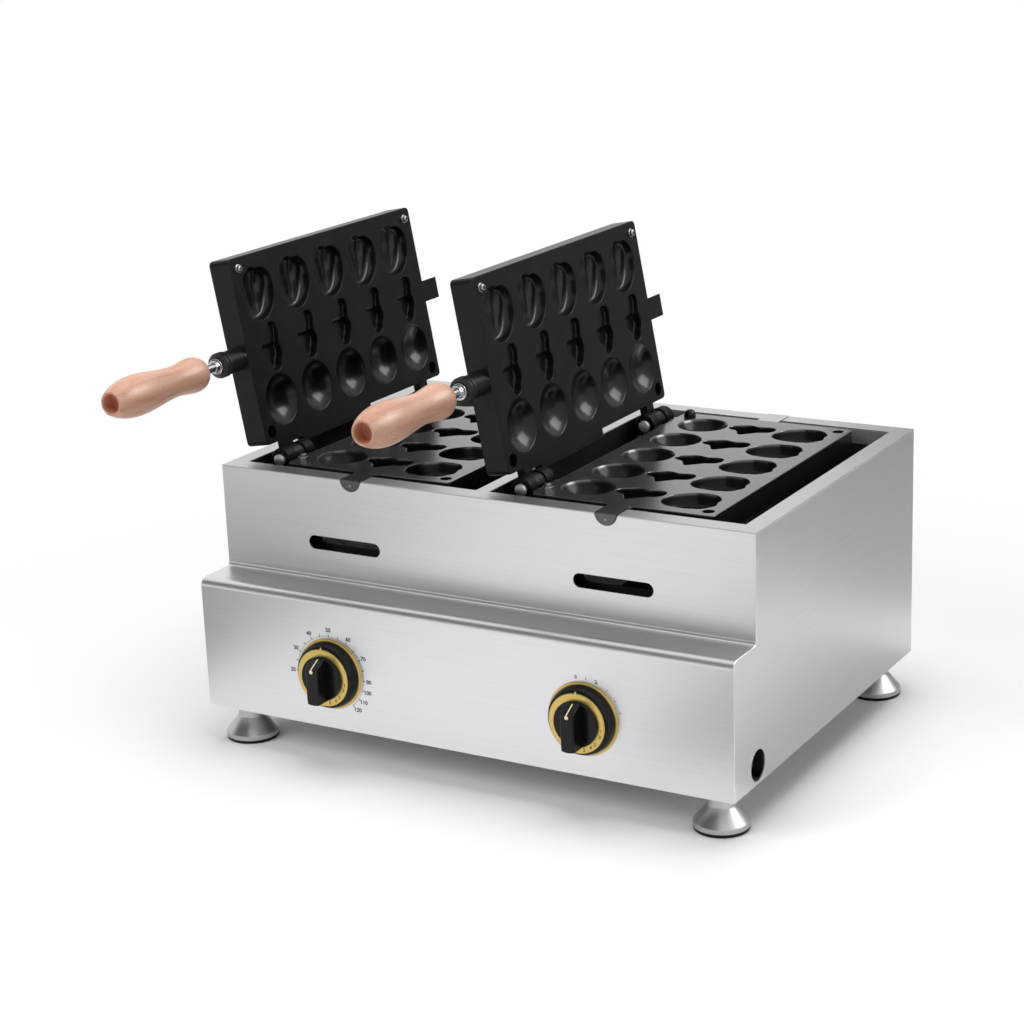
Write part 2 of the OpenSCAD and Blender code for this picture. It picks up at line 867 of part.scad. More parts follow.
foot_nut_h = 6;
foot_nut_flats = 13;
foot_stud_tail = 3;
module foot_studs() {
    color([0.7, 0.7, 0.7])
    at_feet() translate([0, 0, foot_h - foot_stud_in + eps])
        cylinder(r = foot_stud_r, h = foot_stud_in + sheet + foot_nut_h + foot_stud_tail);
}

module foot_lock_nuts() {
    color([0.7, 0.7, 0.7])
    at_feet() translate([0, 0, z_base + sheet])
        difference() {
            hex(foot_nut_flats, foot_nut_h);
            translate([0, 0, -over]) cylinder(r = foot_stud_r + fit, h = foot_nut_h + 2 * over);
        }
}

// ---------- dials ----------

// Black domed skirt inside the outer gold ring
module dial_skirt(side) {
    hole_r = knob_r + knob_gap;
    out_r = dial_r - ring_w - fit;
    steps = 10;
    rise = skirt_h - ring_t;
    dome = [for (i = [0:steps])
        [knob_ring_r + (out_r - knob_ring_r) * cos(90 * i / steps), ring_t + rise * sin(90 * i / steps)]];
    color([0.05, 0.05, 0.05])
    at_dial(side)
        rotate_extrude()
            polygon(concat([[hole_r, 0], [out_r, 0]], dome, [[hole_r, skirt_h]]));
}

// Thin gold ring against the panel
module dial_rim(side) {
    bevel = 0.8;
    color([0.8, 0.62, 0.25])
    at_dial(side)
        rotate_extrude()
            polygon([[dial_r - ring_w, 0], [dial_r, 0], [dial_r, ring_t - bevel],
                [dial_r - bevel, ring_t], [dial_r - ring_w, ring_t]]);
}

// Gold ring that turns with the knob, just above the skirt
module knob_ring(side) {
    low = skirt_h + knob_gap;
    bevel = 0.5;
    color([0.8, 0.62, 0.25])
    at_dial(side)
        rotate_extrude()
            polygon([[knob_r + fit, low], [knob_ring_r, low], [knob_ring_r, low + knob_ring_t - bevel],
                [knob_ring_r - bevel, low + knob_ring_t], [knob_r + fit, low + knob_ring_t]]);
}

// Round knob with a raised grip bar, sloped at its pointer end
module knob(side) {
    bevel = 1.2;
    bar = [[-knob_r, knob_base_top - bevel - 2], [-knob_r, knob_out - bevel], [-knob_r + bevel, knob_out],
        [knob_r - knob_slope, knob_out], [knob_r, knob_base_top], [knob_r, knob_base_top - bevel - 2]];
    color([0.06, 0.06, 0.06])
    at_dial(side)
        difference() {
            union() {
                rotate_extrude()
                    polygon([[0, knob_back], [knob_r - bevel, knob_back], [knob_r, knob_back + bevel],
                        [knob_r, knob_base_top - bevel], [knob_r - bevel, knob_base_top],
                        [0, knob_base_top]]);
                intersection() {
                    translate([-knob_grip_w / 2, 0, 0]) rotate([90, 0, 90])
                        linear_extrude(knob_grip_w) polygon(bar);
                    cylinder(r = knob_r, h = knob_out + over);
                }
            }
            translate([0, 0, knob_back - over])
                cylinder(r = stem_r + fit, h = stem_out - knob_back + over + seat);
        }
}

// Cream inlay: a line down the grip's slope and a round dot on its face
module knob_pointer(side) {
    line_w = 1.2;
    proud = 0.35;
    dot_r = 1.9;
    slope_len = sqrt(pow(knob_slope, 2) + pow(knob_slope_h, 2));
    slope_angle = atan2(knob_slope_h, knob_slope);
    color([0.95, 0.9, 0.75])
    at_dial(side) translate([0, knob_r - knob_slope, knob_out]) {
        translate([0, -dot_r - 0.2, 0]) cylinder(r = dot_r, h = proud);
        translate([-line_w / 2, -dot_r, 0]) cube([line_w, dot_r, proud]);
        rotate([-slope_angle, 0, 0])
            translate([-line_w / 2, 0, 0]) cube([line_w, 0.85 * slope_len, proud]);
    }
}

// ---------- gas line ----------

module valve_stem(side) {
    color([0.75, 0.75, 0.75])
    at_dial(side) translate([0, 0, -stem_in]) cylinder(r = stem_r, h = stem_in + stem_out);
}

// Valve body behind the panel, with a saddle round the manifold
module valve_body(side) {
    x = bay_mid_x(side);
    len = ledge_depth - valve_front + valve_back;
    color([0.78, 0.62, 0.3])
    difference() {
        union() {
            translate([x, y_lower + valve_front, z_dial]) rod_y(valve_r, len);
            translate([x, y_pipe, z_pipe]) cylinder(r = neck_r, h = z_dial - z_pipe);
            translate([x - saddle_len / 2, y_pipe, z_pipe])
                rotate([0, 90, 0]) cylinder(r = saddle_r, h = saddle_len);
        }
        translate([x, y_lower + valve_front - over, z_dial])
            rod_y(stem_r + fit, stem_in - valve_front + 2 * over);
        translate([x - saddle_len, y_pipe, z_pipe])
            rotate([0, 90, 0]) cylinder(r = pipe_r + fit, h = 2 * saddle_len);
        translate([x, y_upper + valve_back - nozzle_in, z_dial]) rod_y(nozzle_r + fit, nozzle_in + over);
    }
}

// Brass injector screwed into the back of the valve
module injector(side) {
    color([0.82, 0.66, 0.3])
    translate([bay_mid_x(side), y_upper + valve_back, z_dial])
        difference() {
            union() {
                translate([0, fit - nozzle_in, 0]) rod_y(nozzle_r, nozzle_in + nozzle_len);
                rotate([-90, 0, 0]) hex(injector_flats, injector_hex_h);
            }
            translate([0, nozzle_len - jet_len, 0]) rod_y(jet_r, jet_len + over);
        }
}

// Pipe from the left valve to the inlet fitting; its left end is closed
pipe_x0 = bay_mid_x(-1) - saddle_len;
pipe_x1 = x_right - inlet_recess - inlet_len;
module manifold_pipe() {
    color([0.72, 0.6, 0.35])
    translate([0, y_pipe, z_pipe]) rotate([0, 90, 0])
        difference() {
            translate([0, 0, pipe_x0]) cylinder(r = pipe_r, h = pipe_x1 - pipe_x0);
            translate([0, 0, pipe_x0 + pipe_wall])
                cylinder(r = pipe_r - pipe_wall, h = pipe_x1 - pipe_x0);
            for (side = [-1, 1])
                translate([0, 0, bay_mid_x(side)]) rotate([0, -90, 0])
                    cylinder(r = port_in_r, h = pipe_r + over);
        }
}

module gas_inlet_fitting() {
    color([0.8, 0.64, 0.3])
    translate([pipe_x1, y_pipe, z_pipe]) rotate([0, 90, 0])
        difference() {
            union() {
                cylinder(r = inlet_r, h = inlet_len);
                translate([0, 0, inlet_hex_at]) hex(inlet_flats, inlet_hex_h);
            }
            translate([0, 0, -over]) cylinder(r = inlet_way_r, h = inlet_len);
            translate([0, 0, inlet_len - inlet_bore]) cylinder(r = inlet_bore_r, h = inlet_bore + over);
        }
}

// Outer or inner skin of a burner: mixing tube, riser, cross tube and two long tubes
module burner_skin(r, trim) {
    tube_len = bay_d - 2 * burner_end;
    translate([0, y_upper + mix_start - (trim > 0 ? over : 0), z_dial])
        rod_y(r, bay_mid_y - y_upper - mix_start + (trim > 0 ? over : 0));
    translate([0, bay_mid_y, z_dial]) sphere(r);
    translate([0, bay_mid_y, z_dial]) cylinder(r = r, h = z_burner - z_dial);
    translate([-burner_spread, bay_mid_y, z_burner])
        rotate([0, 90, 0]) cylinder(r = r, h = 2 * burner_spread);
    for (s = [-1, 1])
        translate([s * burner_spread, y_bay + burner_end + trim, z_burner])
            rod_y(r, tube_len - 2 * trim);
}

module burner(side) {
    port_span = bay_d - 2 * burner_end - 2 * burner_r;
    ports = floor(port_span / port_pitch);
    color([0.35, 0.33, 0.32])
    translate([bay_mid_x(side), 0, 0])
        difference() {
            union() {
                burner_skin(burner_r, 0);
                translate([0, y_upper + mix_start, z_dial]) rod_y(mouth_r, mouth_len);
            }
            burner_skin(burner_in, burner_wall);
            for (s = [-1, 1], i = [0:ports])
                translate([s * burner_spread, bay_mid_y + (i - ports / 2) * port_pitch, z_burner])
                    cylinder(r = port_r, h = burner_r + over);
        }
}

// Upright plates whose saddles carry the burner tubes, two for each burner
module burner_brackets() {
    w = 2 * (burner_spread + bracket_margin);
    color([0.5, 0.5, 0.51])
    for (side = [-1, 1], s = [-1, 1])
        translate([bay_mid_x(side), bay_mid_y + s * (bay_d / 2 - 2 * burner_end) - bracket_t / 2, 0])
            difference() {
                translate([-w / 2, 0, z_base + sheet])
                    cube([w, bracket_t, z_burner - z_base - sheet]);
                for (k = [-1, 1])
                    translate([k * burner_spread, -over, z_burner])
                        rod_y(burner_r + fit, bracket_t + 2 * over);
                translate([0, -over, z_dial]) rod_y(burner_r + over, bracket_t + 2 * over);
            }
}

// Upright sheet between the controls and the burners, with a foot flange
module heat_shield() {
    color([0.62, 0.62, 0.63])
    difference() {
        union() {
            translate([-x_right + sheet, shield_y, z_base + sheet])
                cube([body_w - 2 * sheet, sheet, shield_h]);
            translate([-x_right + sheet, shield_y, z_base + sheet])
                cube([body_w - 2 * sheet, shield_flange, sheet]);
        }
        for (side = [-1, 1])
            translate([bay_mid_x(side), shield_y - over, z_dial]) rod_y(mouth_r + 1, sheet + 2 * over);
    }
}

// ---------- nodes ----------

front_panel();
left_side_panel();
right_side_panel();
rear_panel();
rear_panel_screws();
bottom_panel();
top_frame();
bay_liner(-1);  // bay_liner_left
bay_liner(1);  // bay_liner_right
heat_shield();
rest_bars();
burner(-1);  // burner_left
burner(1);  // burner_right
burner_brackets();
manifold_pipe();
gas_inlet_fitting();
valve_body(-1);  // valve_body_left
valve_body(1);  // valve_body_right
injector(-1);  // injector_left
injector(1);  // injector_right
valve_stem(-1);  // valve_stem_left
valve_stem(1);  // valve_stem_right
knob(-1);  // knob_left
knob(1);  // knob_right
knob_pointer(-1);  // knob_pointer_left
knob_pointer(1);  // knob_pointer_right
dial_skirt(-1);  // dial_skirt_left
dial_skirt(1);  // dial_skirt_right
dial_rim(-1);  // dial_rim_left
dial_rim(1);  // dial_rim_right
knob_ring(-1);  // knob_ring_left
knob_ring(1);  // knob_ring_right
foot(-1, y_lower + foot_inset_y);  // foot_front_left
foot(1, y_lower + foot_inset_y);  // foot_front_right
foot(-1, y_back - foot_inset_y);  // foot_rear_left
foot(1, y_back - foot_inset_y);  // foot_rear_right
foot_studs();
foot_lock_nuts();
at_plates(-1) lower_mould();  // lower_mould_left
at_plates(1) lower_mould();  // lower_mould_right
at_plates(-1) lid_open() upper_mould_closed();  // upper_mould_left
at_plates(1) lid_open() upper_mould_closed();  // upper_mould_right
hinge_pins(-1);  // hinge_pins_left
hinge_pins(1);  // hinge_pins_right
hinge_clips(-1);  // hinge_clips_left
hinge_clips(1);  // hinge_clips_right
plate_studs(-1);  // plate_studs_left
plate_studs(1);  // plate_studs_right
dome_nut(-1);  // dome_nut_left
dome_nut(1);  // dome_nut_right
lid_studs(-1);  // lid_studs_left
lid_studs(1);  // lid_studs_right
handle_rod(-1);  // handle_rod_left
handle_rod(1);  // handle_rod_right
handle_collar(-1);  // handle_collar_left
handle_collar(1);  // handle_collar_right
handle_nut(-1);  // handle_nut_left
handle_nut(1);  // handle_nut_right
wood_grip(-1);  // wood_grip_left
wood_grip(1);  // wood_grip_right
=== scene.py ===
import json
import math

import bmesh
import bpy
from bpy.props import FloatProperty, FloatVectorProperty, IntProperty, PointerProperty
from mathutils import Matrix, Vector
from mathutils.geometry import delaunay_2d_cdt


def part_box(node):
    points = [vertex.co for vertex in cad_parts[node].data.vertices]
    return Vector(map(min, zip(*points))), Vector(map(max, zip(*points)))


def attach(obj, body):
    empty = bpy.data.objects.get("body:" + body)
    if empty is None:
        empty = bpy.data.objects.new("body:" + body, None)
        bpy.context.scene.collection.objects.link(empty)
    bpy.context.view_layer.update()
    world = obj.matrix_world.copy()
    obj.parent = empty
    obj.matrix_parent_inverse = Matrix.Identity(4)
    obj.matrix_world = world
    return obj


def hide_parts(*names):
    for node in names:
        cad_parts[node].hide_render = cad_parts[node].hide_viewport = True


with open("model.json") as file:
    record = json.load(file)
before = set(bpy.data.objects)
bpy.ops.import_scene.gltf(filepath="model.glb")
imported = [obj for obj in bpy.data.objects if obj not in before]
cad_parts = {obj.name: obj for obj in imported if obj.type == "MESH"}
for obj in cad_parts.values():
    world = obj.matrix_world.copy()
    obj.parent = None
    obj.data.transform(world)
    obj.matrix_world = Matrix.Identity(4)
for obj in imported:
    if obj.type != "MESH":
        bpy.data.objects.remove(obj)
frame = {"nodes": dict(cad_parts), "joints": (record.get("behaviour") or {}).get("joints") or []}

bl_info = {
    "name": "Two-station waffle machine",
    "version": (1, 0, 0),
    "blender": (4, 5, 0),
    "location": "3D View > Sidebar > Waffle",
    "description": "Builds the finished surfaces of a countertop waffle machine around its frame",
    "category": "Object",
}

MM = 0.001
SIDES = ("left", "right")
WHITE = (1.0, 1.0, 1.0, 1.0)


# ---------- sizes and colours ----------

def length(name, description, mm):
    """A length property whose default is given in millimetres."""
    return FloatProperty(name=name, description=description, default=mm * MM, unit="LENGTH")


def angle(name, description, degrees):
    """An angle property whose default is given in degrees."""
    return FloatProperty(name=name, description=description, default=math.radians(degrees),
                         subtype="ANGLE", unit="ROTATION")


def count(name, description, number):
    """A whole-number property."""
    return IntProperty(name=name, description=description, default=number, min=1)


def share(name, description, value):
    """A plain factor."""
    return FloatProperty(name=name, description=description, default=value)


def power(name, description, watts):
    """A lamp's power."""
    return FloatProperty(name=name, description=description, default=watts, unit="POWER")


def colour(name, description, red, green, blue):
    """A linear colour property."""
    return FloatVectorProperty(name=name, description=description, default=(red, green, blue),
                               subtype="COLOR", size=3, min=0, max=1)


class HousingSizes(bpy.types.PropertyGroup):
    """Sheet-metal housing"""
    sheet: length("Sheet", "Thickness of the stainless sheet", 1.2)
    ledge_height: length("Ledge height", "Ledge above the housing's floor", 129)
    shoulder: length("Shoulder radius", "Bend at the ledge's front edge", 8)
    crease: length("Crease radius", "Bend where the ledge meets the upper face", 4)
    edge: length("Edge radius", "Rounding of the welded corner edges", 0.9)
    rim_return: length("Rim return", "Bend that hangs behind each bay", 14)
    slot_length: length("Slot length", "Whole length of a lighting slot", 80)
    slot_width: length("Slot width", "Height of a lighting slot", 13.5)
    slot_height: length("Slot height", "Slot centre above the housing's floor", 165)
    slot_shift: length("Slot shift", "How far a slot sits outward of its bay's middle", 8)
    gas_hole: length("Gas hole radius", "Hole in the right side for the gas inlet", 14.5)
    notch: length("Notch radius", "Half-round notch for a plate's lug", 11.4)
    stem_hole: length("Stem hole radius", "Hole in the front for a valve stem", 5)


class PlateSizes(bpy.types.PropertyGroup):
    """Cast plates and their hinges"""
    width: length("Width", "Plate from hinge edge to free edge", 182)
    depth: length("Depth", "Plate from front to back", 317)
    thickness: length("Thickness", "Thickness of one plate", 24)
    corner: length("Corner radius", "Corner radius seen from above", 5)
    edge: length("Edge radius", "Rounding round the mating face", 0.8)
    back_edge: length("Back edge radius", "Rounding round the outer face", 1.8)
    close_gap: length("Closing gap", "Gap between the closed faces", 0.4)
    shallower: length("Lid cavities", "How much shallower the lid's cavities are", 3)
    lip: length("Lip radius", "Rounding at a cavity's mouth", 0.7)
    hinge_out: length("Hinge offset", "Hinge axis outside the plate's edge", 17)
    hinge_drop: length("Hinge drop", "Hinge axis below the parting plane", 2)
    ear_radius: length("Ear radius", "Radius of a hinge ear", 11)
    ear_length: length("Ear length", "Length of a hinge ear", 14.4)
    ear_step: length("Ear step", "Pitch of the ears along the hinge", 15)
    ear_inset: length("Ear inset", "Hinge's start from the plate's corner", 12.8)
    pin_radius: length("Pin radius", "Hinge pin radius", 4)
    lug_radius: length("Lug radius", "Half-round lug radius", 11)
    front_lug: length("Front lug", "Length of the front lug", 29)
    rear_lug: length("Rear lug", "Length of the rear lug", 28)
    stop_drop: length("Stop drop", "Top of the stop block below the hinge axis", 12.3)
    stop_height: length("Stop height", "Thickness of the stop block", 4)
    heel_out: length("Heel reach", "Reach of the lid's heel from the hinge axis", 12)
    heel_width: length("Heel width", "Width of the lid's heel", 6)
    seat: length("Seat", "Play left between parts that rest on each other", 0.3)
    flange_reach: length("Flange reach", "Reach of the lid's flange toward the hinge axis", 10)
    flange_height: length("Flange height", "Top of the lid's flange above the parting plane", 9)
    flange_length: length("Flange length", "Length of the lid's flange from the front hinge", 124)
    stud_inset: length("Stud inset", "Corner studs from the plate's edges", 11)
    stud_from_end: length("Stud from the end", "Corner studs from the front and back edges", 12.5)


class CavitySizes(bpy.types.PropertyGroup):
    """Rows of cavities in each plate"""
    rows: count("Rows", "Cavities in each column", 5)
    row_pitch: length("Row pitch", "Pitch from row to row", 60)
    margin: length("Margin", "Plate outside the first row", 8.5)
    first_column: length("First column", "Bowl centres from the hinge edge", 38)
    column_pitch: length("Column pitch", "Pitch from column to column", 52.5)
    bowl_radius: length("Bowl radius", "Mouth radius of a bowl", 25)
    bowl_depth: length("Bowl depth", "Depth of a bowl", 15)
    bell_depth: length("Bell depth", "Depth of a bell", 11)
    bell_step: length("Bell step", "How much shallower the bell's head is", 3)
    shell_depth: length("Shell depth", "Depth of a shell", 13)
    rib_height: length("Rib height", "Height of the shell's fan ribs", 2.0)
    rib_count: share("Ribs", "Fan ribs round a full turn", 17)


class HandleSizes(bpy.types.PropertyGroup):
    """Rod, collar, nut and turned grip"""
    rise: length("Rise", "Handle axis above the parting plane", 12.8)
    shift: length("Shift", "Handle axis from the plate's middle toward the hinge", 4)
    boss_radius: length("Boss radius", "Radius of the lid's boss", 11.3)
    boss_length: length("Boss length", "Length of the lid's boss", 22)
    rod_radius: length("Rod radius", "Radius of the bright rod", 4.7)
    collar_radius: length("Collar radius", "Radius of the ribbed collar", 12.3)
    collar_length: length("Collar length", "Length of the ribbed collar", 12)
    nut_radius: length("Nut radius", "Radius of the ring nut", 7.8)
    nut_length: length("Nut length", "Length of the lock nut", 6)
    bare_rod: length("Bare rod", "Rod between the nut and the grip", 19)
    grip_length: length("Grip length", "Length of the wooden grip", 131)
    grip_radius: length("Grip radius", "Largest radius of the grip", 19)
    grip_neck: length("Grip neck", "Grip radius where the rod goes in", 9)
    grip_recess: length("Recess radius", "Recess in the grip's end", 9.2)
    recess_depth: length("Recess depth", "Depth of the recess", 12)
    knurls: count("Ribs", "Ribs round the collar", 58)


class FootSizes(bpy.types.PropertyGroup):
    """Cone feet"""
    height: length("Height", "Height of a foot", 38)
    radius: length("Radius", "Radius at the base", 25.5)
    neck: length("Neck radius", "Radius of the neck", 13)
    # Painted shade: a black band round each foot's base, standing in for the shadow its rim reflects at the
    # floor.
    pad: length("Shade band height", "Height of the black pad under the foot", 3.2)
    rim: length("Rim height", "Height of the upright base rim", 7.5)
    cone: length("Cone height", "Height where the flank meets the neck", 22.5)


class DialSizes(bpy.types.PropertyGroup):
    """Dials and their printed scales"""
    radius: length("Radius", "Outer radius of the gold rim", 34.5)
    rim_width: length("Rim width", "Width of the gold rim", 2)
    rim_height: length("Rim height", "Height of the gold rim", 2.2)
    ring_radius: length("Ring radius", "Outer radius of the turning ring", 27.8)
    ring_height: length("Ring height", "Thickness of the turning ring", 1.5)
    skirt: length("Skirt height", "Height of the black skirt", 11.5)
    knob_radius: length("Knob radius", "Radius of the knob's barrel", 21.5)
    knob_base: length("Barrel height", "Height of the knob's barrel", 17)
    knob_height: length("Knob height", "Height of the grip bar", 31)
    knob_back: length("Knob back", "Gap behind the knob's barrel", 3)
    bar_width: length("Bar width", "Width of the grip bar", 13)
    bar_slope: length("Bar slope", "Run of the slope at the pointer end", 7.5)
    gap: length("Gap", "Play between the skirt and the turning parts", 0.5)
    tick_radius: length("Tick radius", "Inner end of the printed ticks", 35.8)
    tick_length: length("Tick length", "Length of a main tick", 3.2)
    label_radius: length("Label radius", "Middle of the printed numbers", 42.8)
    label_size: length("Label size", "Height of the printed numbers", 5.6)
    print_thickness: length("Print thickness", "Thickness of the printed marks", 0.06)


class StageSizes(bpy.types.PropertyGroup):
    """Camera, lamps and backdrop"""
    camera_place: FloatVectorProperty(name="Camera place", description="Camera position in the frame",
                                      default=(1.06743, -1.88773, 0.85855), size=3, unit="LENGTH")
    azimuth: angle("Azimuth", "Camera direction round the machine", 30.73)
    elevation: angle("Elevation", "Camera's downward tilt", 16.65)
    roll: angle("Roll", "Camera's roll", -2.2)
    lens: FloatProperty(name="Lens", description="Focal length in millimetres on a 36 mm sensor",
                        default=82.34)
    key_power: power("Key power", "Power of the key lamp", 34.0)
    fill_power: power("Fill power", "Power of the fill lamp", 7.5)
    top_power: power("Top power", "Power of the overhead lamp", 39.0)
    glint_power: power("Glint power", "Power of the lamp that only gloss shows", 39.0)
    ambient: share("Ambient", "Strength of the even light from all round", 0.16)
    card_grey: share("Card grey", "Reflectance of the dark cards", 0.24)


class Colours(bpy.types.PropertyGroup):
    """Colours of the finishes"""
    steel: colour("Brushed steel", "Stainless sheet", 0.76, 0.76, 0.775)
    chrome: colour("Chrome", "Feet and rods", 0.58, 0.58, 0.59)
    casting: colour("Casting", "Non-stick coating of the plates", 0.0085, 0.0085, 0.0088)
    dark_steel: colour("Dark steel", "Blackened steel parts", 0.02, 0.02, 0.021)
    iron: colour("Burner iron", "Heat-darkened iron", 0.055, 0.05, 0.046)
    brass: colour("Brass", "Valves, injectors and inlet", 0.42, 0.28, 0.11)
    gold: colour("Gold", "Dial rings", 0.66, 0.48, 0.14)
    dial: colour("Dial black", "Knobs and skirts", 0.006, 0.006, 0.0065)
    cream: colour("Cream", "Pointer inlay", 0.84, 0.76, 0.48)
    ink: colour("Ink", "Printed marks", 0.012, 0.012, 0.014)
    wood_light: colour("Light wood", "Beech between the rays", 0.62, 0.36, 0.25)
    wood_dark: colour("Dark wood", "Beech grain and flecks", 0.42, 0.175, 0.105)


GROUPS = {
    "waffle_housing": HousingSizes,
    "waffle_plates": PlateSizes,
    "waffle_cavities": CavitySizes,
    "waffle_handles": HandleSizes,
    "waffle_feet": FootSizes,
    "waffle_dials": DialSizes,
    "waffle_stage": StageSizes,
    "waffle_colours": Colours,
}


# ---------- node trees ----------

class Wire:
    """A node's output, with Math nodes behind the arithmetic signs."""

    def __init__(self, graph, socket):
        self.graph = graph
        self.socket = socket

    def math(self, operation, *values):
        return self.graph.node("ShaderNodeMath", {"operation": operation}, dict(enumerate(values)))

    def __add__(self, other):
        return self.math("ADD", self, other)

    def __radd__(self, other):
        return self.math("ADD", other, self)

    def __sub__(self, other):
        return self.math("SUBTRACT", self, other)

    def __rsub__(self, other):
        return self.math("SUBTRACT", other, self)

    def __mul__(self, other):
        return self.math("MULTIPLY", self, other)

    def __rmul__(self, other):
        return self.math("MULTIPLY", other, self)


class Graph:
    """Adds nodes to one shader or geometry tree."""

    def __init__(self, tree):
        self.tree = tree

    def node(self, kind, settings=None, inputs=None, output=0):
        """Makes a node, sets it up, fills or links its inputs and returns one of its outputs."""
        made = self.tree.nodes.new(kind)
        for key, value in (settings or {}).items():
            setattr(made, key, value)
        for key, value in (inputs or {}).items():
            if isinstance(value, Wire):
                self.tree.links.new(value.socket, made.inputs[key])
            else:
                made.inputs[key].default_value = value
        return Wire(self, made.outputs[output]) if len(made.outputs) else None


def shown_rays(graph):
    """1 for camera, glossy and transmission rays and 0 for all others."""
    outputs = graph.node("ShaderNodeLightPath").socket.node.outputs
    camera, gloss, glass = (Wire(graph, outputs[f"Is {kind} Ray"])
                            for kind in ("Camera", "Glossy", "Transmission"))
    return camera.math("MAXIMUM", camera.math("MAXIMUM", camera, gloss), glass)


class Finish(Graph):
    """One procedural material on a Principled shader."""

    def __init__(self, name, **constants):
        self.material = bpy.data.materials.new(name)
        self.material.use_nodes = True
        super().__init__(self.material.node_tree)
        self.shader = self.tree.nodes["Principled BSDF"]
        for key, value in constants.items():
            self.shader.inputs[key.replace("_", " ")].default_value = value

    def place(self, scale=(1, 1, 1)):
        """Object coordinates in metres, stretched by a scale."""
        where = self.node("ShaderNodeTexCoord", output="Object")
        return self.node("ShaderNodeMapping", {}, {"Vector": where, "Scale": scale})

    def noise(self, scale, detail=2.0, roughness=0.5):
        """Noise from 0 to 1 on object coordinates, scaled alike or, by three numbers, stretched."""
        stretch = (scale,) * 3 if isinstance(scale, float) else scale
        return self.node("ShaderNodeTexNoise", {"noise_dimensions": "3D"},
                         {"Vector": self.place(stretch), "Scale": 1.0, "Detail": detail,
                          "Roughness": roughness})

    def ramp(self, factor, low, high):
        """0 below low and 1 above high, smooth between them."""
        return self.node("ShaderNodeMapRange", {"interpolation_type": "SMOOTHSTEP"},
                         {"Value": factor, "From Min": low, "From Max": high})

    def blend(self, factor, first, second):
        """Mixes two colours."""
        colours = [value if isinstance(value, Wire) else (*value, 1.0) for value in (first, second)]
        return self.node("ShaderNodeMix", {"data_type": "RGBA"},
                         {0: factor, 6: colours[0], 7: colours[1]}, output=2)

    def tint(self, factor, base, low, high):
        """A colour between two shades of itself."""
        return self.blend(factor, shaded(base, low), shaded(base, high))

    def feed(self, **links):
        """Links wires to the shader's own inputs."""
        for key, wire in links.items():
            self.tree.links.new(wire.socket, self.shader.inputs[key.replace("_", " ")])
        return self.material

    def bump(self, height, strength, distance):
        """Normal from a height field."""
        return self.node("ShaderNodeBump", {}, {"Height": height, "Strength": strength,
                                                "Distance": distance}, output="Normal")


def shaded(base, factor):
    """A colour made lighter or darker."""
    return tuple(min(1.0, channel * factor) for channel in base)


# ---------- finishes ----------

FINE = 900.0
LONG = 9.0


def brushed_steel(name, base, stretch):
    """Stainless sheet with brush lines along the axis whose stretch is small."""
    finish = Finish(name, Metallic=1.0)
    lines = finish.noise(stretch, 3.0, 0.6)
    patches = finish.noise((3.0, 3.0, 5.0), 2.0)
    return finish.feed(
        Base_Color=finish.tint(finish.ramp(lines, 0.3, 0.7), base, 0.97, 1.02),
        Roughness=0.3 + lines * 0.07 + patches * 0.05,
        Normal=finish.bump(lines, 0.05, 0.0002),
    )


def cast_coating(name, base, coat, inside_coat, coat_ior):
    """Semi-gloss non-stick coating over a fine sand casting, duller inside the cavities, where its colour is
    also darkened as painted shade.
    """
    finish = Finish(name, Specular_IOR_Level=0.06, Coat_Roughness=0.2, Coat_IOR=coat_ior)
    sunk = finish.node("ShaderNodeAttribute", {"attribute_name": "sunk"}, output="Fac")
    inside = finish.ramp(sunk, 0.4 * MM, 3 * MM)
    grain = finish.noise(1400.0, 2.0)
    patches = finish.noise(45.0, 3.0)
    cast = finish.tint(finish.ramp(patches, 0.3, 0.75), base, 0.85, 1.25)
    return finish.feed(
        # Painted shade: the colour darkens to 0.45 of the casting inside the cavities and on the hinge side.
        Base_Color=finish.blend(inside, cast, shaded(base, 0.45)),
        Roughness=0.34 + patches * 0.1 + grain * 0.05,
        Coat_Weight=coat - inside * (coat - inside_coat),
        Normal=finish.bump(grain, 0.16, 0.0002),
    )


def polished_metal(name, base, low, high):
    """Bright metal with faint handling marks."""
    finish = Finish(name, Metallic=1.0)
    marks = finish.noise((220.0, 220.0, 900.0), 4.0)
    smears = finish.noise(60.0, 2.0)
    return finish.feed(
        Base_Color=finish.tint(smears, base, 0.94, 1.04),
        Roughness=low + (high - low) * marks,
        Normal=finish.bump(marks, 0.05, 0.0001),
    )


def dark_metal(name, base, roughness, speckle):
    """Blackened or heat-stained metal."""
    finish = Finish(name, Metallic=0.6)
    grain = finish.noise(800.0, 3.0)
    stains = finish.noise(50.0, 3.0)
    return finish.feed(
        Base_Color=finish.tint(stains, base, 1.0 - speckle, 1.0 + speckle),
        Roughness=roughness + 0.14 * (grain - 0.5),
        Normal=finish.bump(grain, 0.2, 0.0002),
    )


def moulded_plastic(name, base, roughness):
    """Glossy moulded plastic with a faint orange peel."""
    finish = Finish(name, Specular_IOR_Level=0.22)
    peel = finish.noise(500.0, 1.0)
    film = finish.noise(90.0, 2.0)
    return finish.feed(
        Base_Color=finish.tint(film, base, 0.85, 1.2),
        Roughness=roughness + 0.08 * film,
        Normal=finish.bump(peel, 0.04, 0.0002),
    )


def foil_gold(base):
    """Gold foil with turning marks."""
    finish = Finish("gold_ring", Metallic=0.85)
    marks = finish.noise((700.0, 200.0, 700.0), 2.0)
    return finish.feed(
        Base_Color=finish.tint(marks, base, 0.9, 1.1),
        Roughness=0.24 + 0.12 * marks,
        Normal=finish.bump(marks, 0.05, 0.0001),
    )


def flat_paint(name, base, roughness):
    """Thin print or inlay."""
    finish = Finish(name)
    wear = finish.noise(1500.0, 2.0)
    return finish.feed(
        Base_Color=finish.tint(wear, base, 0.85, 1.1),
        Roughness=roughness + 0.1 * wear,
    )


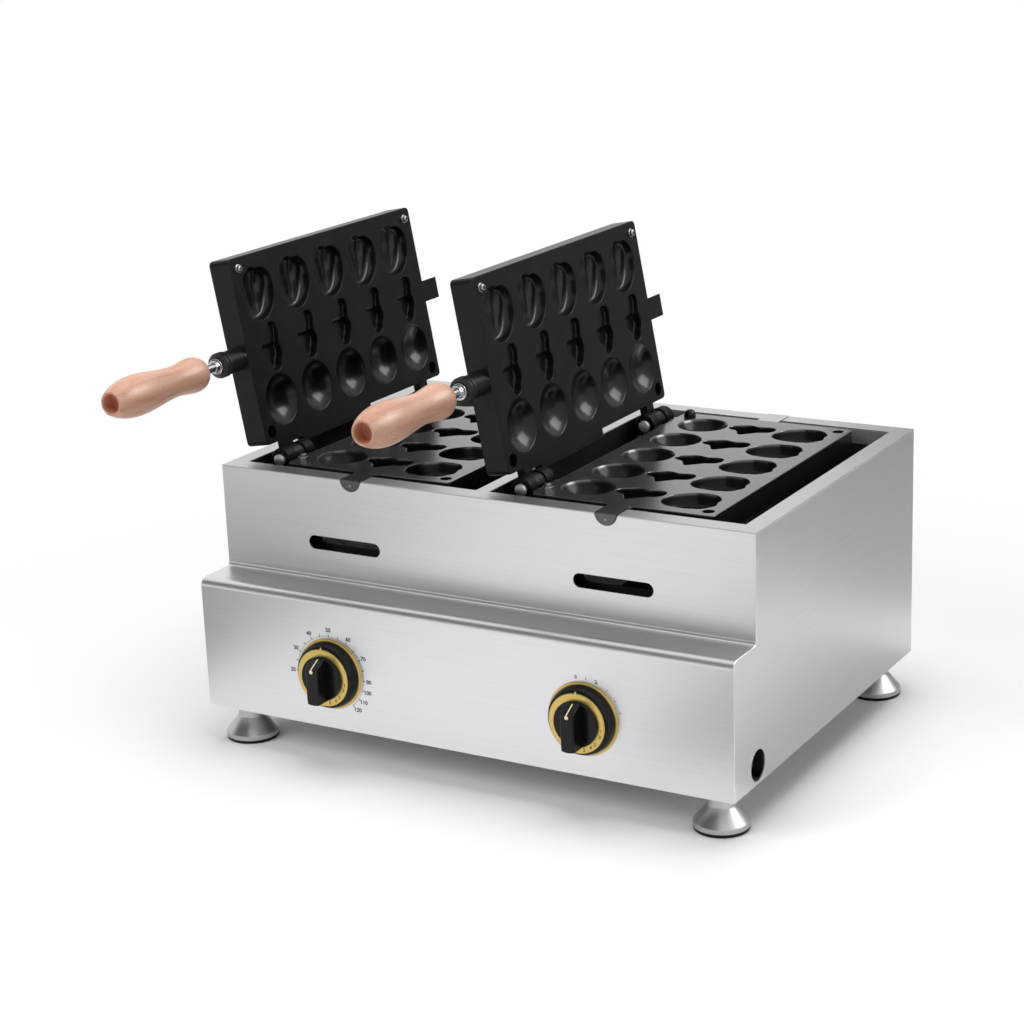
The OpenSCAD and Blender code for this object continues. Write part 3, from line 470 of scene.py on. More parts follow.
def shade_black(name, base):
    """Dull near-black that gives almost no light back: painted shade that makes the gas hole and the slots
    read black.
    """
    finish = Finish(name, Specular_IOR_Level=0.0)
    shade_mottle = finish.noise(300.0, 3.0)
    return finish.feed(
        Base_Color=finish.tint(shade_mottle, base, 0.6, 1.4),
        Roughness=0.8 + 0.2 * shade_mottle,
        Normal=finish.bump(shade_mottle, 0.2, 0.0002),
    )


def turned_beech(light, dark):
    """Lacquered beech with its grain along the grip and small ray flecks."""
    finish = Finish("beech", Coat_Weight=0.4, Coat_Roughness=0.3)
    bands = finish.noise((95.0, 7.0, 95.0), 3.0)
    lines = finish.noise((750.0, 22.0, 750.0), 2.0)
    flecks = finish.ramp(finish.noise((900.0, 190.0, 900.0), 1.0), 0.62, 0.72)
    grain = finish.ramp(bands, 0.35, 0.7) * 0.55 + finish.ramp(lines, 0.4, 0.75) * 0.25 + flecks * 0.35
    return finish.feed(
        Base_Color=finish.blend(grain, light, dark),
        Roughness=0.42 + 0.12 * bands + 0.08 * flecks,
        Normal=finish.bump(lines - flecks, 0.1, 0.0002),
    )


def end_grain(light, dark):
    """Bare beech inside the grip's recess."""
    finish = Finish("beech_bare")
    pores = finish.noise((1100.0, 60.0, 1100.0), 2.0)
    return finish.feed(
        Base_Color=finish.blend(pores, shaded(light, 1.15), shaded(dark, 1.3)),
        Roughness=0.65 + 0.15 * pores,
        Normal=finish.bump(pores, 0.2, 0.0003),
    )


def make_finishes(colours):
    """All finishes by the name of their slot; steel has one for each brushing direction."""
    return {
        "brushed_steel": brushed_steel("brushed_steel_x", colours.steel, (LONG, FINE, FINE)),
        "brushed_steel_y": brushed_steel("brushed_steel_y", colours.steel, (FINE, LONG, FINE)),
        "blackened_sheet": dark_metal("blackened_sheet", shaded(colours.dark_steel, 2.5), 0.45, 0.25),
        "steel_parts": polished_metal("steel_parts", colours.chrome, 0.16, 0.34),
        "spring_steel": polished_metal("spring_steel", shaded(colours.chrome, 0.55), 0.3, 0.45),
        "chrome": polished_metal("chrome", colours.chrome, 0.14, 0.24),
        "nonstick_casting": cast_coating("nonstick_casting", colours.casting, 0.95, 0.09, 2.0),
        "lid_casting": cast_coating("lid_casting", colours.casting, 0.27, 0.5, 1.5),
        # Painted shade: a darker copy of the housing's brushed steel, standing in for the rim's darker
        # reflections.
        "brushed_steel_rim": brushed_steel("brushed_steel_rim", shaded(colours.steel, 0.76),
                                           (LONG, FINE, FINE)),
        # Painted shade: the feet take a darker copy of the chrome, standing in for the darker reflections on
        # them.
        "foot_chrome": polished_metal("foot_chrome", shaded(colours.chrome, 0.85), 0.28, 0.38),
        "pin_steel": polished_metal("pin_steel", shaded(colours.chrome, 1.3), 0.4, 0.6),
        "dull_screw": polished_metal("dull_screw", shaded(colours.chrome, 0.5), 0.2, 0.36),
        "black_oxide": dark_metal("black_oxide", colours.dark_steel, 0.42, 0.2),
        "cast_burner": dark_metal("cast_burner", colours.iron, 0.62, 0.4),
        "brass": polished_metal("brass", colours.brass, 0.22, 0.4),
        # Painted light: the stainless rim returns take a light half-metal grey so that they read lit where
        # the steel would reflect the dark bay.
        "zinc": dark_metal("zinc", (0.4, 0.4, 0.41), 0.5, 0.12),
        # Painted shade: a glossless near-black for the heat shield, so that the gas hole and the slots read
        # black.
        "sooty_sheet": shade_black("sooty_sheet", shaded(colours.iron, 0.3)),
        "gold_ring": foil_gold(colours.gold),
        "dial_black": moulded_plastic("dial_black", colours.dial, 0.16),
        "cream_inlay": flat_paint("cream_inlay", colours.cream, 0.4),
        "ink": flat_paint("ink", colours.ink, 0.5),
        "beech": turned_beech(colours.wood_light, colours.wood_dark),
        "beech_bare": end_grain(colours.wood_light, colours.wood_dark),
    }


FINISHES = {}


# ---------- outlines ----------

def on_circle(radius, turn, centre=(0.0, 0.0)):
    """A point on a circle, its turn measured from +X."""
    return Vector((centre[0] + radius * math.cos(turn), centre[1] + radius * math.sin(turn)))


def circle(radius, points, centre=(0.0, 0.0)):
    """A closed round outline."""
    return [on_circle(radius, math.tau * i / points, centre) for i in range(points)]


def corner_arc(before, corner, after, radius, steps):
    """The arc that replaces one corner of an outline."""
    first = (before - corner).normalized()
    second = (after - corner).normalized()
    half = first.angle(second) / 2
    centre = corner + (first + second).normalized() * radius / math.sin(half)
    reach = radius / math.tan(half)
    start, end = corner + first * reach - centre, corner + second * reach - centre
    begin = math.atan2(start.y, start.x)
    sweep = (math.atan2(end.y, end.x) - begin + math.pi) % math.tau - math.pi
    return [on_circle(radius, begin + sweep * i / steps, centre) for i in range(steps + 1)]


def rounded(points, radii, steps=5, closed=True):
    """An outline with arcs at its corners; a radius of 0 keeps a corner sharp."""
    corners = [Vector(point) for point in points]
    outline = []
    for i, radius in enumerate(radii):
        at_end = not closed and i in (0, len(corners) - 1)
        if at_end or radius == 0:
            outline.append(corners[i])
        else:
            after = corners[(i + 1) % len(corners)]
            outline += corner_arc(corners[i - 1], corners[i], after, radius, steps)
    return outline


def inset(outline, distance):
    """A closed outline moved inward, to the left of its direction."""
    moved = []
    for i, point in enumerate(outline):
        before = (point - outline[i - 1]).normalized()
        after = (outline[(i + 1) % len(outline)] - point).normalized()
        normal = Vector((-before.y - after.y, before.x + after.x)).normalized()
        reach = distance / max(0.5, normal.dot(Vector((-after.y, after.x))))
        moved.append(point + normal * reach)
    return moved


def rectangle(x0, y0, x1, y1, radius, steps=5):
    """A rounded rectangle, anticlockwise."""
    return rounded([(x0, y0), (x1, y0), (x1, y1), (x0, y1)], [radius] * 4, steps)


def even_points(outline, number):
    """The same closed outline with evenly spaced points."""
    ends = outline[1:] + outline[:1]
    lengths = [(b - a).length for a, b in zip(outline, ends)]
    step = sum(lengths) / number
    points, walked, wanted = [], 0.0, 0.0
    for start, end, span in zip(outline, ends, lengths):
        while wanted < walked + span and len(points) < number:
            points.append(start.lerp(end, (wanted - walked) / span))
            wanted += step
        walked += span
    return points


# ---------- solids ----------

class Solid:
    """A mesh in the making, built from loops of points."""

    def __init__(self):
        self.bm = bmesh.new()

    def loop(self, points):
        return [self.bm.verts.new(point) for point in points]

    def ring(self, outline, height):
        return self.loop([(*point, height) for point in outline])

    def face(self, *corners):
        self.bm.faces.new(corners)

    def bridge(self, lower, upper):
        """Quads between two loops of the same length, or a fan to a single point."""
        number = max(len(lower), len(upper))
        for i in range(number):
            j = (i + 1) % number
            if len(upper) == 1:
                self.face(lower[i], lower[j], upper[0])
            elif len(lower) == 1:
                self.face(lower[0], upper[j], upper[i])
            else:
                self.face(lower[i], lower[j], upper[j], upper[i])

    def stack(self, loops):
        """Bridges each loop to the next."""
        for lower, upper in zip(loops, loops[1:]):
            self.bridge(lower, upper)

    def transform(self, matrix):
        self.bm.transform(matrix)
        return self

    def add(self, other, matrix=Matrix.Identity(4)):
        """Takes in another solid or mesh at a place."""
        mesh = other.mesh("part") if isinstance(other, Solid) else other
        copy = mesh.copy()
        copy.transform(matrix)
        self.bm.from_mesh(copy)
        bpy.data.meshes.remove(copy)
        return self

    def tidy(self, distance=0.002 * MM):
        """Merges doubles and turns the faces outward."""
        bmesh.ops.remove_doubles(self.bm, verts=self.bm.verts, dist=distance)
        bmesh.ops.recalc_face_normals(self.bm, faces=self.bm.faces)
        return self

    def mesh(self, name):
        made = bpy.data.meshes.new(name)
        self.bm.to_mesh(made)
        return made


def lathe(profile, segments=64, closed=False):
    """Turns a profile of (radius, height) points round the Z axis; a radius of 0 is a pole."""
    solid = Solid()
    loops = [solid.ring(circle(radius, segments) if radius > 1e-7 else [(0, 0)], height)
             for radius, height in profile]
    solid.stack(loops + loops[:1] if closed else loops)
    return solid.tidy()


def quarter_turns(steps):
    """Angles from 0 to a quarter turn."""
    return [math.pi / 2 * i / steps for i in range(steps + 1)]


def quarter(radius, steps=4):
    """(inward, downward) steps of a rounded edge, from the flat face to the wall."""
    return [(radius * (1 - math.sin(turn)), radius * (1 - math.cos(turn))) for turn in quarter_turns(steps)]


def shoulder(radius, height, edge, steps=3):
    """Profile of a rounded edge, from a wall of this radius in to a flat end at this height."""
    return [(radius - inward, height - down) for inward, down in reversed(quarter(edge, steps))]


def slab(outline, low, high, low_edge=0.0, high_edge=0.0):
    """A flat part: an outline raised from low to high, with rounded edges where asked."""
    solid = Solid()
    foot = quarter(low_edge) if low_edge else [(0, 0)]
    head = quarter(high_edge) if high_edge else [(0, 0)]
    loops = [solid.ring(inset(outline, inward), low + down) for inward, down in foot]
    loops += [solid.ring(inset(outline, inward), high - down) for inward, down in reversed(head)]
    solid.stack(loops)
    solid.bm.faces.new(reversed(loops[0]))
    solid.bm.faces.new(loops[-1])
    return solid


def block(low, high, edge):
    """A box with rounded edges."""
    solid = Solid()
    bmesh.ops.create_cube(solid.bm, size=1.0)
    low, high = Vector(low), Vector(high)
    size = high - low
    solid.transform(Matrix.Translation((low + high) / 2) @ Matrix.Diagonal((*size, 1)))
    bmesh.ops.bevel(solid.bm, geom=solid.bm.edges[:], offset=edge, segments=2, profile=0.5,
                    affect="EDGES")
    return solid


def along_y(start):
    """Frame whose Z axis runs along +Y from a start point."""
    return Matrix.Translation(start) @ Matrix.Rotation(math.radians(-90), 4, "X")


def toward_front(start):
    """Frame whose Z axis runs along -Y from a start point."""
    return Matrix.Translation(start) @ Matrix.Rotation(math.radians(90), 4, "X")


def raised(height):
    """Frame lifted along Z."""
    return Matrix.Translation((0, 0, height))


def rod(radius, height, edge, segments=48):
    """A round bar with rounded ends, along Z."""
    foot = [(radius - inward, down) for inward, down in quarter(edge, 3)]
    return lathe([(0, 0), *foot, *shoulder(radius, height, edge), (0, height)], segments)


def hexagon(radius, height, edge=0.0):
    """A hex prism along Z."""
    outline = [on_circle(radius, math.tau * (i + 0.5) / 6) for i in range(6)]
    return slab(rounded(outline, [0.6 * MM] * 6, 2), 0, height, 0, edge)


def inside_outline(point, outline):
    """Even-odd test of a point in an outline."""
    inside = False
    for a, b in zip(outline, outline[1:] + outline[:1]):
        if (a.y > point.y) != (b.y > point.y):
            if point.x < (b.x - a.x) * (point.y - a.y) / (b.y - a.y) + a.x:
                inside = not inside
    return inside


def pierced_face(solid, outline, holes, height):
    """A flat face at a height, with holes left open."""
    points, edges = [], []
    for ring in [outline] + holes:
        start = len(points)
        points += ring
        edges += [(start + i, start + (i + 1) % len(ring)) for i in range(len(ring))]
    flat, _, triangles, _, _, _ = delaunay_2d_cdt(points, edges, [], 0, 1e-7)
    boxes = [(min(p.x for p in hole), max(p.x for p in hole),
              min(p.y for p in hole), max(p.y for p in hole), hole) for hole in holes]
    made = [solid.bm.verts.new((*point, height)) for point in flat]
    for corners in triangles:
        middle = sum((flat[i] for i in corners), Vector((0, 0))) / len(corners)
        if not inside_outline(middle, outline):
            continue
        near = [hole for x0, x1, y0, y1, hole in boxes
                if x0 <= middle.x <= x1 and y0 <= middle.y <= y1]
        if not any(inside_outline(middle, hole) for hole in near):
            solid.bm.faces.new([made[i] for i in corners])


# ---------- pieces ----------

SMOOTH_TO = math.radians(34)


def new_object(name, mesh):
    """Links a mesh to the scene as an object at the origin."""
    made = bpy.data.objects.new(name, mesh)
    bpy.context.scene.collection.objects.link(made)
    return made


def flattened(mesh):
    """The same mesh with large flat faces shaded flat up to their rounded edges."""
    holder = new_object("holder", mesh)
    weigh = holder.modifiers.new("weigh", "WEIGHTED_NORMAL")
    weigh.keep_sharp = True
    weigh.weight = 100
    result = evaluated_mesh(holder)
    holder.modifiers.remove(weigh)
    bpy.data.objects.remove(holder)
    return result


def piece(name, solid, body, slot, nodes=(), finish=None, place=Matrix.Identity(4)):
    """Makes a finished piece: in place, shaded, riding on its body and standing for its nodes."""
    solid.transform(place).tidy()
    mesh = solid.mesh(name)
    mesh.shade_smooth()
    mesh.set_sharp_from_angle(angle=SMOOTH_TO)
    mesh.polygons.foreach_set("material_index", [0] * len(mesh.polygons))
    mesh.materials.append(FINISHES[finish or slot])
    made = new_object(name, flattened(mesh))
    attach(made, body)
    if nodes:
        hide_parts(*nodes)
    return made


def evaluated_mesh(made):
    """The plain mesh that an object's modifiers or text give."""
    bpy.context.view_layer.update()
    return bpy.data.meshes.new_from_object(made.evaluated_get(bpy.context.evaluated_depsgraph_get()))


def carved(solid, cutters):
    """A solid with other solids cut out of it."""
    target = new_object("stock", solid.tidy().mesh("stock"))
    tool = new_object("tool", cutters.tidy().mesh("tool"))
    cut = target.modifiers.new("cut", "BOOLEAN")
    cut.operation = "DIFFERENCE"
    cut.solver = "EXACT"
    cut.object = tool
    result = Solid()
    result.bm.from_mesh(evaluated_mesh(target))
    target.modifiers.remove(cut)
    for spent in (target, tool):
        bpy.data.objects.remove(spent)
    return result


# ---------- geometry node trees ----------

def geometry_graph(name, inputs):
    """A geometry tree with named inputs, and the wires of those inputs."""
    tree = bpy.data.node_groups.new(name, "GeometryNodeTree")
    for label, kind in {"Geometry": "NodeSocketGeometry", **inputs}.items():
        tree.interface.new_socket(name=label, in_out="INPUT", socket_type=kind)
    tree.interface.new_socket(name="Geometry", in_out="OUTPUT", socket_type="NodeSocketGeometry")
    graph = Graph(tree)
    entry = tree.nodes.new("NodeGroupInput")
    wires = {label: Wire(graph, entry.outputs[label]) for label in ("Geometry", *inputs)}
    return graph, wires


def close_graph(graph, copies, material):
    """Ends a tree in Realize Instances and Set Material."""
    solid = graph.node("GeometryNodeRealizeInstances", {}, {"Geometry": copies})
    painted = graph.node("GeometryNodeSetMaterial", {}, {"Geometry": solid, "Material": material})
    graph.node("NodeGroupOutput", {}, {"Geometry": painted})
    return graph.tree


def copies_tree():
    """Tree that sets a copy of an object on each point of a mesh."""
    graph, wires = geometry_graph("copies_on_points", {"Copy": "NodeSocketObject",
                                                       "Material": "NodeSocketMaterial"})
    shape = graph.node("GeometryNodeObjectInfo", {}, {"Object": wires["Copy"]}, output="Geometry")
    copies = graph.node("GeometryNodeInstanceOnPoints", {},
                        {"Points": wires["Geometry"], "Instance": shape})
    return close_graph(graph, copies, wires["Material"])


def ring_tree():
    """Tree that sets bars round a circle in the XY plane, turned clockwise from +Y."""
    graph, wires = geometry_graph("bars_round_a_ring", {
        "Count": "NodeSocketInt", "First turn": "NodeSocketFloat", "Step turn": "NodeSocketFloat",
        "Radius": "NodeSocketFloat", "Bar width": "NodeSocketFloat", "Bar length": "NodeSocketFloat",
        "Bar height": "NodeSocketFloat", "Material": "NodeSocketMaterial"})
    points = graph.node("GeometryNodePoints", {}, {"Count": wires["Count"]})
    turn = wires["First turn"] + graph.node("GeometryNodeInputIndex") * wires["Step turn"]
    across = turn.math("SINE", turn) * wires["Radius"]
    up = turn.math("COSINE", turn) * wires["Radius"]
    place = graph.node("ShaderNodeCombineXYZ", {}, {"X": across, "Y": up})
    spread = graph.node("GeometryNodeSetPosition", {}, {"Geometry": points, "Position": place})
    size = graph.node("ShaderNodeCombineXYZ", {}, {"X": wires["Bar width"], "Y": wires["Bar length"],
                                                   "Z": wires["Bar height"]})
    bar = graph.node("GeometryNodeMeshCube", {}, {"Size": size})
    angles = graph.node("ShaderNodeCombineXYZ", {}, {"Z": turn * -1.0})
    rotation = graph.node("FunctionNodeEulerToRotation", {}, {"Euler": angles})
    copies = graph.node("GeometryNodeInstanceOnPoints", {},
                        {"Points": spread, "Instance": bar, "Rotation": rotation})
    return close_graph(graph, copies, wires["Material"])


TREES = {}


def grown(tree, values, source=None):
    """The plain mesh that a tree makes from its inputs."""
    holder = new_object("holder", source or bpy.data.meshes.new("holder"))
    modifier = holder.modifiers.new("grow", "NODES")
    modifier.node_group = TREES[tree]
    inputs = {item.name: item.identifier for item in TREES[tree].interface.items_tree
              if item.item_type == "SOCKET" and item.in_out == "INPUT"}
    for label, value in values.items():
        modifier[inputs[label]] = value
    mesh = evaluated_mesh(holder)
    holder.modifiers.remove(modifier)
    bpy.data.objects.remove(holder)
    return mesh


def copies(solid, places, finish):
    """One mesh of copies of a solid at several places."""
    points = bpy.data.meshes.new("places")
    points.from_pydata([tuple(place) for place in places], [], [])
    pattern = new_object("pattern", solid.mesh("pattern"))
    mesh = grown("copies", {"Copy": pattern, "Material": FINISHES[finish]}, points)
    bpy.data.objects.remove(pattern)
    return mesh


def ring_of_bars(number, first, step, radius, size, finish):
    """One mesh of bars round a circle; turns in radians, size as width, length and height."""
    return grown("ring", {"Count": number, "First turn": first, "Step turn": step, "Radius": radius,
                          "Bar width": size[0], "Bar length": size[1], "Bar height": size[2],
                          "Material": FINISHES[finish]})


# ---------- places from the frame ----------

def joint(name):
    """A joint of the frame by its name."""
    return next(each for each in frame["joints"] if each["name"] == name)


class Station:
    """One plate pair with its dial: its places and its bodies."""

    def __init__(self, side, sizes):
        hinge = joint(f"lid_{side}_hinge")
        dial = joint(f"dial_{side}_turn")
        out, drop = sizes.hinge_out, sizes.hinge_drop
        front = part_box(f"lower_mould_{side}")[0].y + sizes.front_lug
        axis = Vector((-out, 0, -drop))
        self.side = side
        self.mould, self.lid, self.dial = f"mould_{side}", f"lid_{side}", f"dial_{side}"
        self.plates = Matrix.Translation((hinge["pos_m"][0] + out, front, hinge["pos_m"][2] + drop))
        swing = Matrix.Rotation(-math.radians(hinge["range_deg"][1]), 4, "Y")
        self.lid_place = self.plates @ Matrix.Translation(axis) @ swing @ Matrix.Translation(-axis)
        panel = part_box("front_panel")[0].y
        self.dial_place = toward_front((dial["pos_m"][0], panel, dial["pos_m"][2]))


class Housing:
    """The housing's outer faces, from the frame's boxes."""

    def __init__(self, sizes):
        front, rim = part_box("front_panel"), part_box("top_frame")
        self.x = rim[1].x
        self.y_lower, self.y_upper, self.y_back = front[0].y, rim[0].y, rim[1].y
        self.z_base, self.z_rim = front[0].z, rim[1].z
        self.z_ledge = self.z_base + sizes.ledge_height
        self.z_sheet = self.z_rim - sizes.sheet
        liners = [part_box(f"bay_liner_{side}") for side in SIDES]
        self.bays = [(low.x + sizes.sheet, high.x - sizes.sheet) for low, high in liners]
        self.y_bay = (liners[0][0].y + sizes.sheet, liners[0][1].y - sizes.sheet)

    def middle(self, index):
        return sum(self.bays[index]) / 2


def stations():
    """Both stations, left first."""
    return [Station(side, bpy.context.scene.waffle_plates) for side in SIDES]


# ---------- housing ----------

def front_section(place, sizes):
    """Front sheet in the Y-Z plane: outer line up, inner line back down."""
    def bent_line(behind):
        lower, upper, ledge = place.y_lower + behind, place.y_upper + behind, place.z_ledge - behind
        corners = [(lower, place.z_base), (lower, ledge), (upper, ledge), (upper, place.z_sheet)]
        return rounded(corners, [0, sizes.shoulder - behind, sizes.crease + behind, 0], 10, closed=False)

    return bent_line(0) + bent_line(sizes.sheet)[::-1]


def across_x(x):
    """Frame whose X, Y and Z axes run along the machine's Y, Z and X, starting at x."""
    return Matrix(((0, 0, 1, x), (1, 0, 0, 0), (0, 1, 0, 0), (0, 0, 0, 1)))


def slot_outline(sizes):
    """Lighting slot with round ends."""
    half, end = sizes.slot_length / 2, sizes.slot_width / 2
    return rectangle(-half, -end, half, end, end * 0.999, 10)


def front_cutters(place, sizes):
    """Tools for the slots, lug notches and stem holes of the front sheet."""
    tools = Solid()
    margin = 3 * sizes.sheet
    for index, station in enumerate(stations()):
        outward = sizes.slot_shift * (-1, 1)[index]
        slot = (place.middle(index) + outward, place.y_upper + margin, place.z_base + sizes.slot_height)
        tools.add(slab(slot_outline(sizes), 0, 2 * margin), toward_front(slot))
        lug = station.plates @ Vector((bpy.context.scene.waffle_plates.width / 2, 0, 0))
        tools.add(rod(sizes.notch, 2 * margin, 0.1 * MM, 64),
                  toward_front((lug.x, place.y_upper + margin, lug.z)))
        stem = station.dial_place.translation
        tools.add(rod(sizes.stem_hole, 2 * margin, 0.1 * MM),
                  toward_front((stem.x, place.y_lower + margin, stem.z)))
    return tools


def side_outline(place, sizes):
    """Stepped side in the Y-Z plane."""
    corners = [(place.y_lower, place.z_base), (place.y_back, place.z_base), (place.y_back, place.z_sheet),
               (place.y_upper, place.z_sheet), (place.y_upper, place.z_ledge), (place.y_lower, place.z_ledge)]
    return rounded(corners, [1.3 * sizes.edge] * 4 + [sizes.crease, sizes.shoulder], 10)


def build_housing(context):
    """Front sheet and both sides."""
    sizes = context.scene.waffle_housing
    place = Housing(sizes)
    width = 2 * (place.x - sizes.sheet)
    sheet = slab(front_section(place, sizes), 0, width).transform(across_x(sizes.sheet - place.x))
    front = carved(sheet, front_cutters(place, sizes))
    piece("front_sheet", front, "housing", "brushed_steel", ["front_panel"])
    outline = side_outline(place, sizes)
    left = slab(outline, 0, sizes.sheet, sizes.edge, 0).transform(across_x(-place.x))
    piece("left_side_sheet", left, "housing", "brushed_steel", ["left_side_panel"], "brushed_steel_y")
    right = slab(outline, 0, sizes.sheet, 0, sizes.edge).transform(across_x(place.x - sizes.sheet))
    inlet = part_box("gas_inlet_fitting")
    centre = (inlet[0] + inlet[1]) / 2
    hole = rod(sizes.gas_hole, 6 * sizes.sheet, 0.1 * MM, 64)
    hole.transform(Matrix.Translation((place.x - 3 * sizes.sheet, centre.y, centre.z))
                   @ Matrix.Rotation(math.radians(90), 4, "Y"))
    piece("right_side_sheet", carved(right, hole), "housing", "brushed_steel", ["right_side_panel"],
          "brushed_steel_y")


def build_rim(context):
    """Flat rim in three parts between the lug notches."""
    sizes = context.scene.waffle_housing
    place = Housing(sizes)
    lug = context.scene.waffle_plates.width / 2
    centres = [station.plates.translation.x + lug for station in stations()]
    notches = [(centre - sizes.notch, centre + sizes.notch) for centre in centres]
    (front, back), (near, far) = (place.y_upper, place.y_back), place.y_bay
    (left_notch, right_notch), (left_bay, right_bay) = notches, place.bays
    left = [(-place.x, front), (left_notch[0], front), (left_notch[0], near), (left_bay[0], near),
            (left_bay[0], far), (left_notch[0], far), (left_notch[0], back), (-place.x, back)]
    middle = [(left_notch[1], front), (right_notch[0], front), (right_notch[0], near),
              (right_bay[0], near), (right_bay[0], far), (right_notch[0], far), (right_notch[0], back),
              (left_notch[1], back), (left_notch[1], far), (left_bay[1], far), (left_bay[1], near),
              (left_notch[1], near)]
    right = [(place.x, back), (right_notch[1], back), (right_notch[1], far), (right_bay[1], far),
             (right_bay[1], near), (right_notch[1], near), (right_notch[1], front), (place.x, front)]
    rim = Solid()
    for corners in (left, middle, right):
        outline = rounded(corners, [sizes.edge] * len(corners), 3)
        rim.add(slab(outline, place.z_sheet, place.z_rim, 0, 0.5 * sizes.edge))
    # The rim takes the darker copy of the housing steel, a painted shade.
    piece("rim", rim, "housing", "brushed_steel", ["top_frame"], "brushed_steel_rim")
    returns = Solid()
    for bay_start, bay_end in place.bays:
        returns.add(block((bay_start + 0.1 * MM, far - 0.6 * MM, place.z_sheet - sizes.rim_return),
                          (bay_end - 0.1 * MM, far - 0.1 * MM, place.z_sheet), 0.1 * MM))
    # The returns take the light grey finish, painted light in place of the steel's own dark reflection.
    piece("rim_returns", returns, "housing", "brushed_steel", (), "zinc")


# ---------- plates ----------

def in_metres(points):
    """Outline points given in millimetres."""
    return [Vector((x * MM, y * MM)) for x, y in points]


BELL_POINTS = in_metres([
    (21.8, 9.6), (19.4, 13.6), (13.0, 15.6), (4.0, 13.6), (-1.6, 14.6), (-6.6, 16.2), (-11.6, 15.4),
    (-16.6, 12.4), (-22.2, 9.4), (-24.6, 4.6), (-23.8, -0.4), (-20.2, -3.8), (-14.6, -5.6),
    (-10.6, -10.2), (-7.4, -16.4), (-4.4, -19.0), (-1.8, -17.6), (1.6, -14.2), (5.4, -10.6),
    (9.4, -6.8), (14.2, -5.0), (19.4, -2.4), (22.2, 3.4)])
SHELL_POINTS = in_metres([
    (24.6, -12.6), (26.2, -7.2), (24.4, -1.6), (23.8, 3.0), (24.0, 8.6), (21.0, 14.6), (18.2, 18.2),
    (12.6, 22.0), (4.0, 23.4), (-7.0, 21.2), (-17.0, 14.6), (-23.4, 6.6), (-26.2, -3.4),
    (-25.0, -12.4), (-20.6, -19.0), (-13.6, -23.6), (-3.6, -25.6), (7.0, -25.4), (11.4, -23.6),
    (15.8, -23.4), (20.8, -19.4), (22.2, -16.4)])

# Radius and depth of the screw pockets.
PLATE_POCKET = (5.5 * MM, 7 * MM)
LID_POCKET = (6.4 * MM, 10 * MM)

# How far the lugs and the hinge arms run into a plate, and the arms' rounded edge.
LUG_BITE = 3 * MM
ARM_BITE = 2 * MM
ARM_EDGE = 0.6 * MM

# Turns a part over, its mating face staying where it is.
FLIP = Matrix.Diagonal((1, 1, -1, 1))

# Deepest points of the two shaped cavities, and where the shell's ribs meet.
BELL_CENTRE = Vector((-4.0 * MM, 3.0 * MM))
SHELL_CENTRE = Vector((0.0, -1.0 * MM))
FAN_FOOT = Vector((-34.0 * MM, -3.0 * MM))


def spline_outline(points, number):
    """A smooth closed outline through a few points, evenly spaced."""
    dense = []
    for i, point in enumerate(points):
        before, after, beyond = points[i - 1], points[(i + 1) % len(points)], points[(i + 2) % len(points)]
        for step in range(12):
            t = step / 12
            dense.append(0.5 * (2 * point + (after - before) * t
                                + (2 * before - 5 * point + 4 * after - beyond) * t ** 2
                                + (3 * point - before - 3 * after + beyond) * t ** 3))
    return even_points(dense, number)


def cup(outline, centre, lip, wall, floor, depth_at):
    """An open cavity below z = 0. wall holds (inward, share of depth) pairs, floor shares of the way in."""
    solid = Solid()
    mouth = inset(outline, -lip)
    loops = [solid.ring(mouth, 0)]
    loops += [solid.ring(inset(outline, -inward), -down) for inward, down in quarter(lip, 3)[1:-1]]
    loops.append(solid.ring(outline, -lip))
    for inward, part in wall:
        foot = [point + (centre - point).normalized() * inward for point in outline]
        loops.append(solid.loop([(*p, -lip - (depth_at(p, 0.0) - lip) * part) for p in foot]))
    for part in floor:
        inner = [point.lerp(centre, part) for point in foot]
        loops.append(solid.loop([(*p, -depth_at(p, part)) for p in inner]))
    loops.append(solid.loop([(*centre, -depth_at(centre, 1.0))]))
    solid.stack(loops)
    return solid, mouth


def bowl_cup(sizes, lip, shallower):
    """Round bowl, part of a sphere."""
    radius, depth = sizes.bowl_radius, sizes.bowl_depth - shallower
    ball = (radius ** 2 + depth ** 2) / (2 * depth)
    outline = circle(radius, 64)

    def depth_at(point, _):
        return math.sqrt(max(0.0, ball ** 2 - point.length_squared)) - ball + depth

    solid = Solid()
    mouth = inset(outline, -lip)
    loops = [solid.ring(mouth, 0), solid.ring(inset(outline, -0.35 * lip), -0.25 * lip)]
    for turn in quarter_turns(14)[1:-1]:
        ring = circle(radius * math.cos(turn), 64)
        loops.append(solid.loop([(*point, -max(0.5 * lip, depth_at(point, 0))) for point in ring]))
    loops.append(solid.loop([(0, 0, -depth)]))
    solid.stack(loops)
    return solid, mouth


def bell_cup(sizes, lip, shallower):
    """Bell whose head is a step shallower than its body."""
    depth = sizes.bell_depth - shallower
    outline = spline_outline(BELL_POINTS, 96)

    def depth_at(point, _):
        step = min(1.0, max(0.0, (point.x + 2 * MM) / (5 * MM)))
        return depth - sizes.bell_step * step * step * (3 - 2 * step)

    wall = [(0.5 * MM, 0.4), (0.9 * MM, 0.75), (1.4 * MM, 0.92), (2.2 * MM, 1.0)]
    floor = (0.1, 0.2, 0.3, 0.4, 0.5, 0.6, 0.7, 0.8, 0.9)
    return cup(outline, BELL_CENTRE, lip, wall, floor, depth_at)


